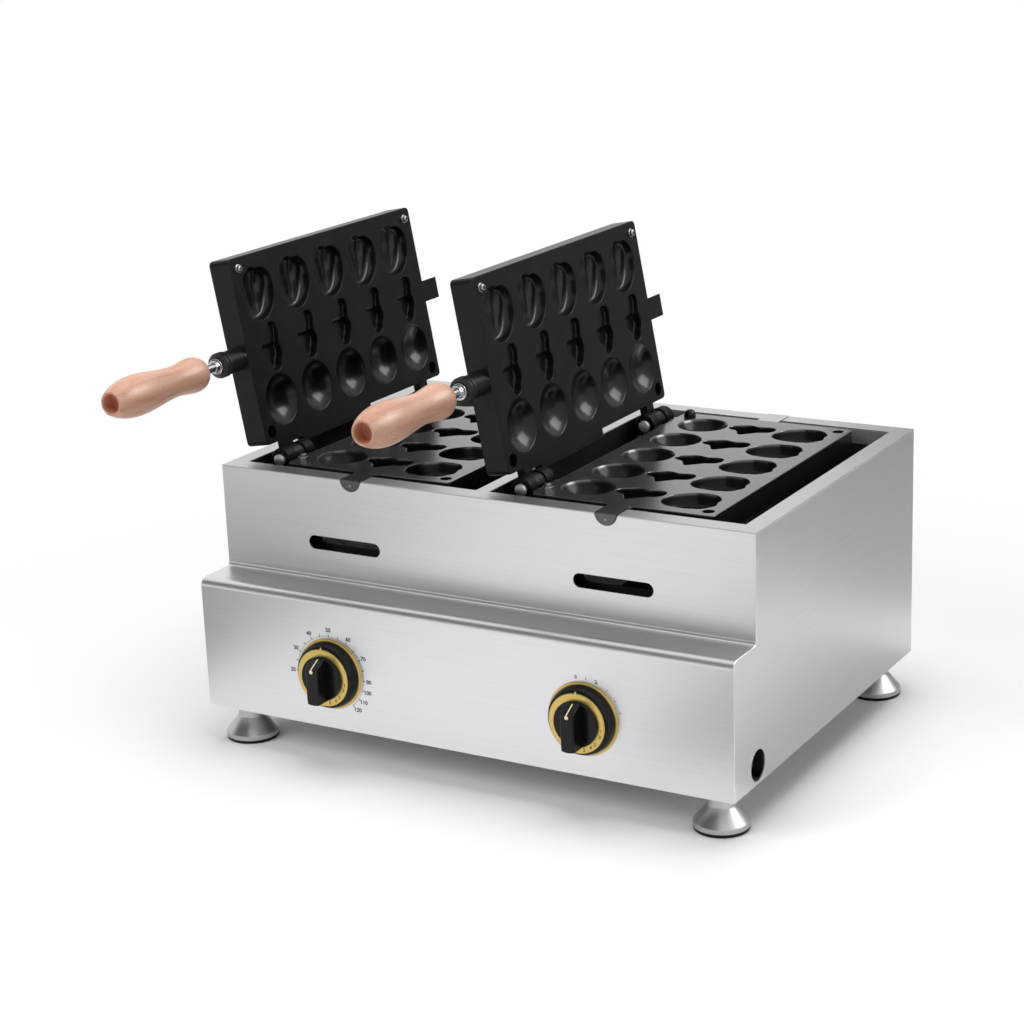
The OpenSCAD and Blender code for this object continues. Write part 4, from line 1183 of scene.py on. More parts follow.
def shell_cup(sizes, lip, shallower):
    """Scalloped shell with fan ribs on its floor."""
    depth = sizes.shell_depth - shallower
    outline = spline_outline(SHELL_POINTS, 108)

    def depth_at(point, part):
        spread = (point - FAN_FOOT)
        ribs = math.cos(sizes.rib_count * math.atan2(spread.y, spread.x))
        rise = min(1.0, max(0.0, (spread.length - 14 * MM) / (22 * MM)))
        edge = 1.0 - min(1.0, part * 2.2)
        return depth - 1.6 * MM * edge - sizes.rib_height * rise * (1 + ribs) / 2 * (1 - edge * 0.5)

    wall = [(0.9 * MM, 0.4), (1.8 * MM, 0.7), (2.9 * MM, 0.9), (4.2 * MM, 1.0)]
    floor = (0.08, 0.16, 0.26, 0.36, 0.46, 0.58, 0.7, 0.82, 0.92)
    return cup(outline, SHELL_CENTRE, lip, wall, floor, depth_at)


def pocket_cup(radius, depth, lip):
    """Round screw pocket with a flat floor."""
    solid = Solid()
    levels = [(radius + lip, 0), (radius + 0.3 * lip, -0.3 * lip), (radius, -lip), (radius, -depth)]
    loops = [solid.ring(circle(reach, 32), level) for reach, level in levels]
    loops.append(solid.loop([(0, 0, -depth)]))
    solid.stack(loops)
    return solid, circle(radius + lip, 32)


def row_places(cavities, column):
    """Centres of one column of cavities."""
    x = cavities.first_column + column * cavities.column_pitch
    return [Vector((x, cavities.margin + (i + 0.5) * cavities.row_pitch)) for i in range(cavities.rows)]


def stud_places(sizes, at_free_edge):
    """Corner stud centres along one edge."""
    x = sizes.width - sizes.stud_inset if at_free_edge else sizes.stud_inset
    return [Vector((x, sizes.stud_from_end)), Vector((x, sizes.depth - sizes.stud_from_end))]


def plate_body(sizes, cavities, shallower, pocket, pocket_at_free_edge):
    """Plate with its cavities, mating face at z = 0 and body below."""
    solid = Solid()
    lip = sizes.lip
    cups = [(shape(cavities, lip, shallower), row_places(cavities, column))
            for column, shape in enumerate((bowl_cup, bell_cup, shell_cup))]
    cups.append((pocket_cup(*pocket, 0.4 * MM), stud_places(sizes, pocket_at_free_edge)))
    holes = []
    for (shape, mouth), places in cups:
        solid.add(copies(shape, [(*place, 0) for place in places], "nonstick_casting"))
        holes += [[point + place for point in mouth] for place in places]
    outline = rectangle(0, 0, sizes.width, sizes.depth, sizes.corner, 6)
    face_line = inset(outline, sizes.edge)
    pierced_face(solid, face_line, holes, 0)
    loops = [solid.ring(inset(outline, inward), -down) for inward, down in quarter(sizes.edge)]
    loops += [solid.ring(inset(outline, inward), down - sizes.thickness)
              for inward, down in reversed(quarter(sizes.back_edge))]
    solid.stack(loops)
    solid.bm.faces.new(loops[-1])
    return solid.tidy()


def rear_lug(sizes, upper, edge, height):
    """Half-round lug behind a plate, flat on the parting plane at a height."""
    lug = slab(half_disc(sizes.lug_radius, upper), 0, sizes.rear_lug + LUG_BITE, 0, edge)
    backward = Matrix(((1, 0, 0, 0), (0, 0, 1, 0), (0, 1, 0, 0), (0, 0, 0, 1)))
    start = (sizes.width / 2, sizes.depth - LUG_BITE, height)
    return lug.transform(Matrix.Translation(start) @ backward)


def half_disc(radius, upper):
    """Half-round lug section: X across, Y up, flat on the parting plane."""
    turns = [math.pi * i / 20 for i in range(21)]
    points = [on_circle(radius, turn if upper else turn - math.pi) for turn in turns]
    skim = 0.01 * MM * (1 if upper else -1)
    return [Vector((p.x, p.y + skim)) for p in points]


def hinge_span(sizes):
    """Length of one hinge along Y, over its three ears."""
    return 2 * sizes.ear_step + sizes.ear_length


def ear_ys(sizes, places):
    """Start of each ear along Y, for both hinges."""
    starts = (sizes.ear_inset, sizes.depth - sizes.ear_inset - hinge_span(sizes))
    return [start + place * sizes.ear_step for start in starts for place in places]


def ears(sizes, places, solid, smaller=0.0):
    """Hinge ears with rounded ends."""
    for y in ear_ys(sizes, places):
        solid.add(rod(sizes.ear_radius - smaller, sizes.ear_length, 1.5 * MM, 56),
                  along_y((-sizes.hinge_out, y, -sizes.hinge_drop)))


def lug_root(sizes):
    """Flared web where the front lug leaves the plate."""
    reach, flare = sizes.lug_radius, 6 * MM
    right = [(reach + inward, -down) for inward, down in quarter(flare, 6)]
    outline = [(-reach - flare, 1.5 * MM), *[(-x, y) for x, y in right],
               *reversed(right), (reach + flare, 1.5 * MM)]
    return slab([Vector(point) for point in outline], -6 * MM, -0.02 * MM, 0, 0.3 * MM)


def lower_plate(sizes, cavities):
    """Lower plate in its own frame."""
    solid = plate_body(sizes, cavities, 0, PLATE_POCKET, True)
    ears(sizes, (0, 2), solid)
    bottom = -sizes.hinge_drop - sizes.stop_drop - sizes.stop_height
    for y in ear_ys(sizes, (0, 2)):
        low = (-sizes.hinge_out, y, bottom)
        solid.add(block(low, (ARM_BITE, y + sizes.ear_length, -sizes.hinge_drop), ARM_EDGE))
    for y in ear_ys(sizes, (0,)):
        low = (-sizes.hinge_out - sizes.heel_out, y, bottom)
        high = (sizes.ear_radius - sizes.hinge_out, y + hinge_span(sizes), bottom + sizes.stop_height)
        solid.add(block(low, high, ARM_EDGE))
    lug = slab(half_disc(sizes.lug_radius, False), 0, sizes.front_lug + LUG_BITE, 0, 0.8 * MM)
    solid.add(lug, toward_front((sizes.width / 2, LUG_BITE, 0)))
    solid.add(lug_root(sizes), Matrix.Translation((sizes.width / 2, 0, 0)))
    solid.add(rear_lug(sizes, False, 0.8 * MM, 0))
    return solid


def upper_plate(sizes, cavities, handle):
    """Lid in its closed frame, with its boss, lug, arms and heels."""
    body = plate_body(sizes, cavities, sizes.shallower, LID_POCKET, False)
    solid = body.transform(raised(sizes.close_gap) @ FLIP)
    ears(sizes, (1,), solid, 1.5 * MM)
    first = sizes.ear_inset + hinge_span(sizes)
    for reach, start, end in ((sizes.flange_reach, 2 * MM, sizes.flange_length),
                              (sizes.flange_reach / 2, -sizes.ear_length, 4 * MM)):
        low, high = (-reach, first + start, sizes.close_gap), (ARM_BITE, first + end, sizes.flange_height)
        solid.add(block(low, high, 1.2 * MM))
    swing = Matrix.Rotation(math.radians(joint("lid_left_hinge")["range_deg"][1]), 4, "Y")
    axis = Matrix.Translation((-sizes.hinge_out, 0, -sizes.hinge_drop))
    for y in ear_ys(sizes, (1,)):
        arm_end = (ARM_BITE, y + sizes.ear_length, sizes.ear_radius - sizes.hinge_drop)
        solid.add(block((-sizes.hinge_out, y, sizes.close_gap), arm_end, ARM_EDGE))
        low = (-sizes.heel_out, y, -sizes.stop_drop + sizes.seat)
        high = (sizes.heel_width - sizes.heel_out, y + sizes.ear_length, -sizes.ear_radius / 2)
        solid.add(block(low, high, 0.5 * MM), axis @ swing)
    root = [(12.0 * MM, 0), (11.6 * MM, 1.6 * MM), (handle.boss_radius, 2.6 * MM)]
    tip = handle.boss_length + MM
    boss = lathe([(0, 0), *root, *shoulder(handle.boss_radius, tip, 0.9 * MM), (0, tip)], 64)
    solid.add(boss, toward_front((sizes.width / 2 - handle.shift, MM, handle.rise)))
    solid.add(rear_lug(sizes, True, 2.6 * MM, sizes.close_gap))
    return solid


def paint(made, finish, chosen):
    """Gives a second finish to the faces whose centres are chosen."""
    made.data.materials.append(FINISHES[finish])
    for polygon in made.data.polygons:
        if chosen(polygon.center):
            polygon.material_index = 1


def mark_cavities_and_shade(made, place, sizes):
    """Stores how deep each point lies inside a cavity; the hinge side counts as deep, so that it also takes
    the cavities' painted shade and duller coat.
    """
    sunk = made.data.attributes.new("sunk", "FLOAT", "POINT")
    back = place.inverted()
    wall = 4 * MM
    for vertex, value in zip(made.data.vertices, sunk.data):
        point = back @ vertex.co
        inside = wall < point.x < sizes.width - wall and wall < point.y < sizes.depth - wall
        depth = max(-point.z, point.z - sizes.close_gap)
        # Painted shade: the hinge side is given a cavity's depth so that its colour darkens.
        hinge_shade_depth = 3 * MM if point.x < -MM else 0.0
        value.value = depth if inside and depth < 0.8 * sizes.thickness else hinge_shade_depth


def build_lower_plates(context):
    """Lower plates of both stations."""
    for station in stations():
        sizes = context.scene.waffle_plates
        made = piece(f"lower_plate_{station.side}", lower_plate(sizes, context.scene.waffle_cavities),
                     station.mould, "nonstick_casting", [f"lower_mould_{station.side}"],
                     place=station.plates)
        mark_cavities_and_shade(made, station.plates, sizes)
        back = station.plates.inverted()
        # Painted sheen: the coated rear lug takes the rim's steel so that it reads light, as the coating's
        # grazing reflection does.
        paint(made, "brushed_steel_rim", lambda centre: (back @ centre).y > sizes.depth + 4 * MM)


def build_lids(context):
    """Upper plates of both stations, standing open."""
    scene = context.scene
    for station in stations():
        solid = upper_plate(scene.waffle_plates, scene.waffle_cavities, scene.waffle_handles)
        made = piece(f"upper_plate_{station.side}", solid, station.lid, "nonstick_casting",
                     [f"upper_mould_{station.side}"], "lid_casting", station.lid_place)
        mark_cavities_and_shade(made, station.lid_place, scene.waffle_plates)


# ---------- hinges and fasteners ----------

def domed(radius, skirt, rise, steps=8):
    """Lathe profile of a domed head, from its underside up."""
    turns = quarter_turns(steps)[:-1]
    arc = [(radius * math.cos(turn), skirt + rise * math.sin(turn)) for turn in turns]
    return [(0, 0), (radius, 0), *arc, (0, skirt + rise)]


# Radius, skirt and rise of domed heads.
PIN_HEAD = (5.8 * MM, 2.8 * MM, 1.2 * MM)
STUD_END = (3 * MM, 2.2 * MM, 0.8 * MM)
STUD_FLANGE = (4.4 * MM, 1.0 * MM, 0.6 * MM)
NUT_DOME = (5.6 * MM, 3.3 * MM, 4.2 * MM)

# Rising side of the dome nut, as (radius, height).
NUT_SKIRT = [(6.0 * MM, 0), (6.0 * MM, 2.4 * MM), (5.7 * MM, 3.1 * MM)]

# Radius, height and rounded edge of the hex nut and the lug's set screw.
STUD_NUT = (5.77 * MM, 5 * MM, 0.5 * MM)
SET_SCREW = (1.3 * MM, 1.3 * MM, 0.3 * MM)

# Radius, height and half the socket's width of socket heads.
PLATE_SCREW = (4.4 * MM, 2.8 * MM, 1.8 * MM)
LID_SCREW = (4.2 * MM, 1.9 * MM, 1.8 * MM)
LID_STUD = (3.4 * MM, 2.7 * MM, 1.5 * MM)


def build_hinge_pins(context):
    """Domed pins through the ears."""
    sizes = context.scene.waffle_plates
    for station in stations():
        solid = Solid()
        for y in ear_ys(sizes, (0,)):
            start = (-sizes.hinge_out, y, -sizes.hinge_drop)
            solid.add(rod(sizes.pin_radius, hinge_span(sizes) + 4 * MM, 0.6 * MM), along_y(start))
            solid.add(lathe(domed(*PIN_HEAD), 40), toward_front(start))
        piece(f"hinge_pins_{station.side}.bright", solid, station.mould, "steel_parts",
              [f"hinge_pins_{station.side}"], "pin_steel", station.plates)


def socket_head(radius, height, socket):
    """Button head with a hex socket."""
    solid = Solid()
    points, lip = 36, 1.35 * socket
    loops = [solid.ring(circle(radius, points), 0)]
    for turn in quarter_turns(6):
        reach = lip + (radius - lip) * math.cos(turn)
        loops.append(solid.ring(circle(reach, points), height * (0.25 + 0.75 * math.sin(turn))))
    hexed = []
    for turn in [math.tau * i / points for i in range(points)]:
        off_flat = (turn + math.pi / 6) % (math.pi / 3) - math.pi / 6
        hexed.append(on_circle(socket / math.cos(off_flat), turn))
    loops += [solid.ring(hexed, level) for level in (height, 0.35 * height)]
    loops.append(solid.loop([(0, 0, 0.3 * height)]))
    solid.stack(loops)
    solid.bm.faces.new(reversed(loops[0]))
    return solid.tidy()


def build_plate_fasteners(context):
    """Lower plates: hex nut, recessed socket screws and the lug's set screw."""
    sizes = context.scene.waffle_plates
    for station in stations():
        solid = Solid()
        sunk = [(*place, -PLATE_POCKET[1]) for place in stud_places(sizes, True)]
        solid.add(copies(socket_head(*PLATE_SCREW), sunk, "steel_parts"))
        front, back = stud_places(sizes, False)
        solid.add(hexagon(*STUD_NUT), Matrix.Translation((*front, 0)))
        solid.add(lathe(domed(*STUD_END), 32), Matrix.Translation((*front, STUD_NUT[1])))
        set_screw = Vector((sizes.width / 2, -sizes.front_lug + MM, -sizes.lug_radius / 2))
        solid.add(rod(*SET_SCREW, 24), toward_front(set_screw))
        piece(f"plate_screws_{station.side}", solid, station.mould, "steel_parts",
              [f"plate_studs_{station.side}"], "dull_screw", station.plates)
        cap = lathe([(0, 0), *NUT_SKIRT, *domed(*NUT_DOME)[2:]], 48)
        piece(f"dome_nut_{station.side}.cap", cap, station.mould, "black_oxide",
              [f"dome_nut_{station.side}"], "dial_black", station.plates @ Matrix.Translation((*back, 0)))


def build_lid_fasteners(context):
    """Lids: flanged studs at the free edge and sunk screws at the hinge edge."""
    sizes = context.scene.waffle_plates
    for station in stations():
        solid = Solid()
        flange = lathe(domed(*STUD_FLANGE), 40)
        flange.add(socket_head(*LID_STUD), raised(1.5 * MM))
        proud = [(*place, 0) for place in stud_places(sizes, True)]
        solid.add(copies(flange, proud, "steel_parts"), raised(sizes.close_gap) @ FLIP)
        sunk = [(*place, 0) for place in stud_places(sizes, False)]
        floor = raised(sizes.close_gap + LID_POCKET[1])
        solid.add(copies(socket_head(*LID_SCREW), sunk, "steel_parts"), floor @ FLIP)
        piece(f"lid_screws_{station.side}", solid, station.lid, "steel_parts",
              [f"lid_studs_{station.side}"], "spring_steel", station.lid_place)


# ---------- handles ----------

def ease(first, last, part):
    """A smooth step from first to last as part goes from 0 to 1."""
    return first + (last - first) * (1 - math.cos(math.pi * part)) / 2


def grip_radius(sizes, part):
    """Turned grip: neck, small bulge, waist and large bulge, from the rod to the free end."""
    back, waist, front = 0.1, 0.31, 0.75
    back_radius, waist_radius = 0.88 * sizes.grip_radius, 0.76 * sizes.grip_radius
    if part < back:
        rise = math.sqrt(1 - (1 - part / back) ** 2)
        return sizes.grip_neck + (back_radius - sizes.grip_neck) * rise
    if part < waist:
        return ease(back_radius, waist_radius, (part - back) / (waist - back))
    if part < front:
        return ease(waist_radius, sizes.grip_radius, (part - waist) / (front - waist))
    return sizes.grip_radius * math.sqrt(1 - ((part - front) / 0.32) ** 2)


def grip_solid(sizes):
    """Grip along Z with a recess in its free end."""
    steps, edge = 72, 2.0 * MM
    body = sizes.grip_length - edge
    shares = [0.1 * (1 - math.cos(math.pi / 2 * i / 12)) for i in range(12)]
    shares += [0.1 + 0.9 * i / steps for i in range(steps + 1)]
    side = [(grip_radius(sizes, part), body * part) for part in shares]
    end_radius = side[-1][0]
    rim = shoulder(end_radius, sizes.grip_length, edge, 5)
    lip = 0.5 * MM
    recess = [(sizes.grip_recess + lip, sizes.grip_length), (sizes.grip_recess, sizes.grip_length - lip),
              (sizes.grip_recess - 0.2 * MM, sizes.grip_length - sizes.recess_depth),
              (0, sizes.grip_length - sizes.recess_depth - 1.5 * MM)]
    return lathe([(0, 0), *side, *rim[1:], *recess], 96)


def collar_solid(sizes):
    """Collar with chamfers, a waist groove and ribs."""
    reach, tall = sizes.collar_radius, sizes.collar_length
    wall, groove, chamfer = reach - 0.4 * MM, reach - 1.3 * MM, 1.4 * MM
    profile = [(0, 0), (reach - chamfer, 0), (wall, chamfer), (wall, 4.2 * MM), (groove, 4.8 * MM),
               (groove, 5.8 * MM), (wall, 6.4 * MM), (wall, tall - 2 * chamfer),
               (reach - 2.2 * chamfer, tall), (0, tall)]
    solid = lathe(profile, 72)
    ribs = ring_of_bars(sizes.knurls, 0.0, math.tau / sizes.knurls, reach - 0.5 * MM,
                        (0.6 * MM, 0.9 * MM, 2.6 * MM), "black_oxide")
    for height in (2.8 * MM, 7.6 * MM):
        solid.add(ribs, raised(height))
    return solid


def nut_solid(sizes):
    """Bright flanged ring nut."""
    reach, tall = sizes.nut_radius, sizes.nut_length
    flange = shoulder(reach, 1.6 * MM, 0.5 * MM)
    cone = [(reach - 1.6 * MM, 1.9 * MM), (sizes.rod_radius + 1.1 * MM, tall - 1.2 * MM),
            (sizes.rod_radius + 0.6 * MM, tall)]
    return lathe([(0, 0), (reach, 0), *flange, *cone, (0, tall)], 64)


def build_handles(context):
    """Rod, collar, nut and grip of each lid."""
    sizes = context.scene.waffle_handles
    across = context.scene.waffle_plates.width / 2 - sizes.shift
    collar = sizes.boss_length
    nut = collar + sizes.collar_length
    rod_start = nut + sizes.nut_length
    grip = rod_start + sizes.bare_rod
    for station in stations():
        place = station.lid_place @ toward_front((across, 0, sizes.rise))
        side = station.side
        along = {name: place @ raised(start)
                 for name, start in (("collar", collar), ("nut", nut), ("grip", grip))}
        bar = rod(sizes.rod_radius, sizes.nut_length + sizes.bare_rod + 8 * MM, 0.6 * MM, 64)
        for node, end, solid, slot, at in (
                ("handle_collar", "ribbed", collar_solid(sizes), "black_oxide", "collar"),
                ("handle_nut", "bright", nut_solid(sizes), "chrome", "nut"),
                ("handle_rod", "bright", bar, "chrome", "nut")):
            piece(f"{node}_{side}.{end}", solid, station.lid, slot, [f"{node}_{side}"], place=along[at])
        turned = piece(f"wood_grip_{side}.turned", grip_solid(sizes), station.lid, "beech",
                       [f"wood_grip_{side}"], place=along["grip"])
        back = along["grip"].inverted()
        deep, wide = sizes.grip_length - 20 * MM, sizes.grip_recess + 0.2 * MM
        paint(turned, "beech_bare", lambda c: (back @ c).z > deep and (back @ c).xy.length < wide)


# ---------- feet ----------

def build_feet(context):
    """Polished cone feet."""
    sizes = context.scene.waffle_feet
    edge = 1.0 * MM
    rim = rounded([(0, 0), (sizes.radius, 0), (sizes.radius, sizes.pad), (sizes.radius, sizes.rim),
                   (sizes.neck, sizes.cone), (sizes.neck, sizes.height), (0, sizes.height)],
                  [0, edge, 0, 1.2 * edge, 2.5 * edge, 0.5 * edge, 0], 5, closed=False)
    for end in ("front", "rear"):
        for side in SIDES:
            low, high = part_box(f"foot_{end}_{side}")
            centre = Vector(((low.x + high.x) / 2, (low.y + high.y) / 2, 0))
            # The feet take the darker chrome copy, a painted shade.
            foot = piece(f"foot_{end}_{side}.cone", lathe([tuple(point) for point in rim], 96), "housing",
                         "chrome", [f"foot_{end}_{side}"], "foot_chrome", Matrix.Translation(centre))
            # Painted shade: faces below the band's height are black, where the foot's rim reflects the shadow
            # at the floor.
            paint(foot, "dial_black", lambda centre: centre.z < sizes.pad)


# ---------- dials ----------

DIAL_POINTS = 128


def skirt_solid(sizes):
    """Steep domed skirt round the knob."""
    hole = sizes.knob_radius + sizes.gap
    reach = sizes.radius - sizes.rim_width
    rise = sizes.skirt - sizes.rim_height
    dome = [(sizes.ring_radius + (reach - sizes.ring_radius) * math.cos(turn),
             sizes.rim_height + rise * math.sin(turn)) for turn in quarter_turns(16)]
    return lathe([(hole, 0), (reach, 0), *dome, (hole, sizes.skirt)], DIAL_POINTS, closed=True)


def rim_solid(sizes):
    """Thin gold rim against the panel."""
    inner, outer, tall = sizes.radius - sizes.rim_width, sizes.radius, sizes.rim_height
    corner = shoulder(outer, tall, 0.9 * MM, 4)
    return lathe([(inner, 0), (outer, 0), *corner, (inner, tall)], DIAL_POINTS, closed=True)


def turning_ring(sizes):
    """Gold ring on the knob, with a small index peak at its top."""
    low = sizes.skirt + sizes.gap
    high = low + sizes.ring_height
    inner, outer = sizes.knob_radius, sizes.ring_radius
    corner = shoulder(outer, high, 0.7 * MM, 4)
    solid = lathe([(inner, low), (outer, low), *corner, (inner, high)], DIAL_POINTS, closed=True)
    peak = in_metres([(-2.6, 25.6), (2.0, 25.6), (-0.6, 30.2)])
    solid.add(slab(rounded(peak, [0.3 * MM] * 3, 2), low, high - 0.1 * MM, 0, 0.3 * MM))
    return solid


def knob_barrel(sizes):
    """Round barrel of the knob."""
    reach, back, front = sizes.knob_radius, sizes.knob_back, sizes.knob_base
    foot = [(reach - inward, back + down) for inward, down in quarter(1.0 * MM, 3)]
    return lathe([(0, back), *foot, *shoulder(reach, front, 1.2 * MM, 5), (0, front)], DIAL_POINTS)


def grip_bar(sizes):
    """Grip bar across the barrel, sloped at its pointer end."""
    solid = Solid()
    reach, half = sizes.knob_radius, sizes.bar_width / 2
    edge = 1.1 * MM
    slope_start = reach - sizes.bar_slope
    fall = (sizes.knob_height - sizes.knob_base) / sizes.bar_slope

    def top(y):
        return sizes.knob_height - fall * max(0.0, y - slope_start)

    flat_end = math.sqrt(reach ** 2 - half ** 2)
    turn = math.asin(half / reach)
    ends = [reach * math.cos(turn * (1 - i / 6)) for i in range(6)]
    middle = [-flat_end + (slope_start - edge + flat_end) * i / 8 for i in range(9)]
    slope = [slope_start - edge / 2, slope_start, slope_start + edge / 2,
             slope_start + sizes.bar_slope * 0.35, slope_start + sizes.bar_slope * 0.6]
    ys = [-y for y in reversed(ends[1:])] + middle + slope + [y for y in ends if y > slope[-1]] + [reach]
    ys = sorted(set(round(y, 7) for y in ys + [-reach]))

    def outline(inward):
        shrink = reach - inward
        rows = [max(-shrink + 1e-6, min(shrink - 1e-6, y)) for y in ys]
        right = [(min(half - inward, math.sqrt(max(0.0, shrink ** 2 - y * y))), y) for y in rows]
        left = [(-x, y) for x, y in reversed(right)]
        return right + left

    base = sizes.knob_base - 2 * MM
    loops = [solid.loop([(x, y, base) for x, y in outline(0)])]
    for inward, down in reversed(quarter(edge, 5)):
        loops.append(solid.loop([(x, y, max(base + 0.5 * MM, top(y) - down)) for x, y in outline(inward)]))
    solid.stack(loops)
    rows = len(ys)
    last = loops[-1]
    for i in range(rows - 1):
        solid.face(last[i], last[i + 1], last[2 * rows - 2 - i], last[2 * rows - 1 - i])
    solid.bm.faces.new(reversed(loops[0]))
    return solid


def pointer_solid(sizes):
    """Cream line down the bar's slope, ending in a dot on its face."""
    slope_start = sizes.knob_radius - sizes.bar_slope
    run, fall = sizes.bar_slope, sizes.knob_height - sizes.knob_base
    reach = math.hypot(run, fall)
    dot, line, proud, sunk = 1.9 * MM, 1.1 * MM, 0.3 * MM, 0.05 * MM
    dot_reach = 1.15 * dot
    turns = [math.radians(126 + 288 * i / 24) for i in range(25)]
    drop = [on_circle(dot, turn) for turn in turns]
    drop += [Vector((x, dot_reach)) for x in (line / 2, -line / 2)]
    solid = slab(drop, 0, proud, 0, 0.12 * MM)
    solid.transform(Matrix.Translation((0, slope_start - dot_reach, sizes.knob_height - sunk)))
    strip = slab(rectangle(-line / 2, 0, line / 2, 0.85 * reach, 0.3 * MM, 3), 0, proud, 0, 0.12 * MM)
    tilt = Matrix.Rotation(-math.atan2(fall, run), 4, "X")
    solid.add(strip, Matrix.Translation((0, slope_start, sizes.knob_height - sunk)) @ tilt)
    return solid


def build_dials(context):
    """Rims, skirts, knobs, rings and pointers."""
    sizes = context.scene.waffle_dials
    for station in stations():
        side, place = station.side, station.dial_place
        knob = knob_barrel(sizes)
        knob.add(grip_bar(sizes).tidy())
        for node, end, solid, body, slot in (
                ("dial_rim", "gold", rim_solid(sizes), "housing", "gold_ring"),
                ("dial_skirt", "domed", skirt_solid(sizes), "housing", "dial_black"),
                ("knob_ring", "gold", turning_ring(sizes), station.dial, "gold_ring"),
                ("knob", "grip", knob, station.dial, "dial_black"),
                ("knob_pointer", "cream", pointer_solid(sizes), station.dial, "cream_inlay")):
            piece(f"{node}_{side}.{end}", solid, body, slot, [f"{node}_{side}"], place=place)


def number_mesh(text, size, thickness):
    """A printed number as a thin mesh, centred on its own place."""
    curve = bpy.data.curves.new("number", "FONT")
    curve.body = text
    curve.size = size
    curve.extrude = thickness / 2
    curve.offset = 0.03 * size
    curve.align_x, curve.align_y = "CENTER", "CENTER"
    curve.resolution_u = 3
    holder = new_object("number", curve)
    mesh = evaluated_mesh(holder)
    bpy.data.objects.remove(holder)
    return mesh


def numbers(labels, radius, size, thickness, height):
    """Upright numbers set round a circle; labels holds (text, degrees from the top)."""
    solid = Solid()
    for text, degrees in labels:
        turn = math.radians(degrees)
        spot = Matrix.Translation((radius * math.sin(turn), radius * math.cos(turn), height))
        solid.add(number_mesh(text, size, thickness), spot)
    return solid


LEFT_LABELS = [("20", -93), ("30", -62), ("40", -31), ("50", 0), ("60", 31), ("70", 62), ("80", 93),
               ("100", 108), ("110", 123), ("120", 138)]
RIGHT_LABELS = [("0", -10), ("2", 20)]
RING_LABELS = [("1", 98), ("2", 111), ("3", 133), ("4", 146), ("5", 163)]

# Radius of the circle and height of the numbers on the turning rings.
RING_LABEL_RADIUS = 24.6 * MM
RING_LABEL_SIZE = 4.4 * MM


def build_dial_marks(context):
    """Printed scales on the panel and small numbers on the turning rings."""
    sizes = context.scene.waffle_dials
    thick = sizes.print_thickness
    left, right = stations()

    def ticks(solid, number, first, step, radius, width, reach):
        bars = ring_of_bars(number, math.radians(first), math.radians(step), radius + reach / 2,
                            (width, reach, thick), "ink")
        solid.add(bars, raised(thick / 2))

    start, step = -124, 15.5
    marks = numbers(LEFT_LABELS, sizes.label_radius, sizes.label_size, thick, thick / 2)
    ticks(marks, 18, start, step, sizes.tick_radius, 0.75 * MM, sizes.tick_length)
    ticks(marks, 85, start, step / 5, sizes.tick_radius, 0.45 * MM, 0.5 * sizes.tick_length)
    piece("dial_scale_left", marks, "housing", "dial_black", (), "ink", left.dial_place)
    marks = numbers(RIGHT_LABELS, sizes.tick_radius + 2.8 * MM, 4.6 * MM, thick, thick / 2)
    ticks(marks, 5, 5, 17, sizes.tick_radius + MM, 0.5 * MM, 0.8 * sizes.tick_length)
    piece("dial_scale_right", marks, "housing", "dial_black", (), "ink", right.dial_place)
    height = sizes.skirt + sizes.gap + sizes.ring_height
    for station in (left, right):
        marks = numbers(RING_LABELS, RING_LABEL_RADIUS, RING_LABEL_SIZE, thick, height)
        piece(f"ring_numbers_{station.side}", marks, station.dial, "dial_black", (), "ink",
              station.dial_place)


# ---------- carried nodes ----------

CARRIED = {
    "brushed_steel": ["rear_panel", "bottom_panel"],
    "blackened_sheet": ["bay_liner_left", "bay_liner_right", "rest_bars"],
    "steel_parts": ["rear_panel_screws", "foot_studs", "foot_lock_nuts", "burner_brackets",
                    "valve_stem_left", "valve_stem_right"],
    "spring_steel": ["hinge_clips_left", "hinge_clips_right"],
    "cast_burner": ["burner_left", "burner_right"],
    "brass": ["valve_body_left", "valve_body_right", "injector_left", "injector_right", "manifold_pipe",
              "gas_inlet_fitting"],
    # Painted shade: the heat shield is near-black and glossless so that the gas hole and the slots read
    # black.
    "sooty_sheet": ["heat_shield"],
}


def finish_carried(context):
    """Gives the frame's own nodes their finishes."""
    for finish, names in CARRIED.items():
        for name in names:
            node = frame["nodes"][name]
            node.data.materials.clear()
            node.data.materials.append(FINISHES[finish])


# ---------- stage ----------

def stage_plane(name, size, place, material):
    """A flat card that is part of the stage."""
    solid = Solid()
    half_x, half_y = size[0] / 2, size[1] / 2
    solid.face(*solid.ring(rectangle(-half_x, -half_y, half_x, half_y, 0), 0))
    solid.transform(place)
    made = new_object(name, solid.mesh(name))
    made.data.materials.append(material)
    return made


def floor_material():
    """Pale floor that keeps shadows and fades to white away from the machine."""
    finish = Finish("floor", Base_Color=(0.95, 0.95, 0.95, 1), Roughness=0.9, Specular_IOR_Level=0.0)
    where = finish.node("ShaderNodeTexCoord", output="Object")
    flat = finish.node("ShaderNodeVectorMath", {"operation": "MULTIPLY"}, {0: where, 1: (1, 1, 0)})
    away = finish.node("ShaderNodeVectorMath", {"operation": "LENGTH"}, {0: flat}, output="Value")
    far = finish.ramp(away, 0.36, 0.92)
    white = finish.node("ShaderNodeEmission", {}, {"Color": WHITE, "Strength": 1.0})
    near = Wire(finish, finish.shader.outputs[0])
    both = finish.node("ShaderNodeMixShader", {}, {0: far * shown_rays(finish), 1: near, 2: white})
    finish.tree.links.new(both.socket, finish.tree.nodes["Material Output"].inputs["Surface"])
    return finish.material


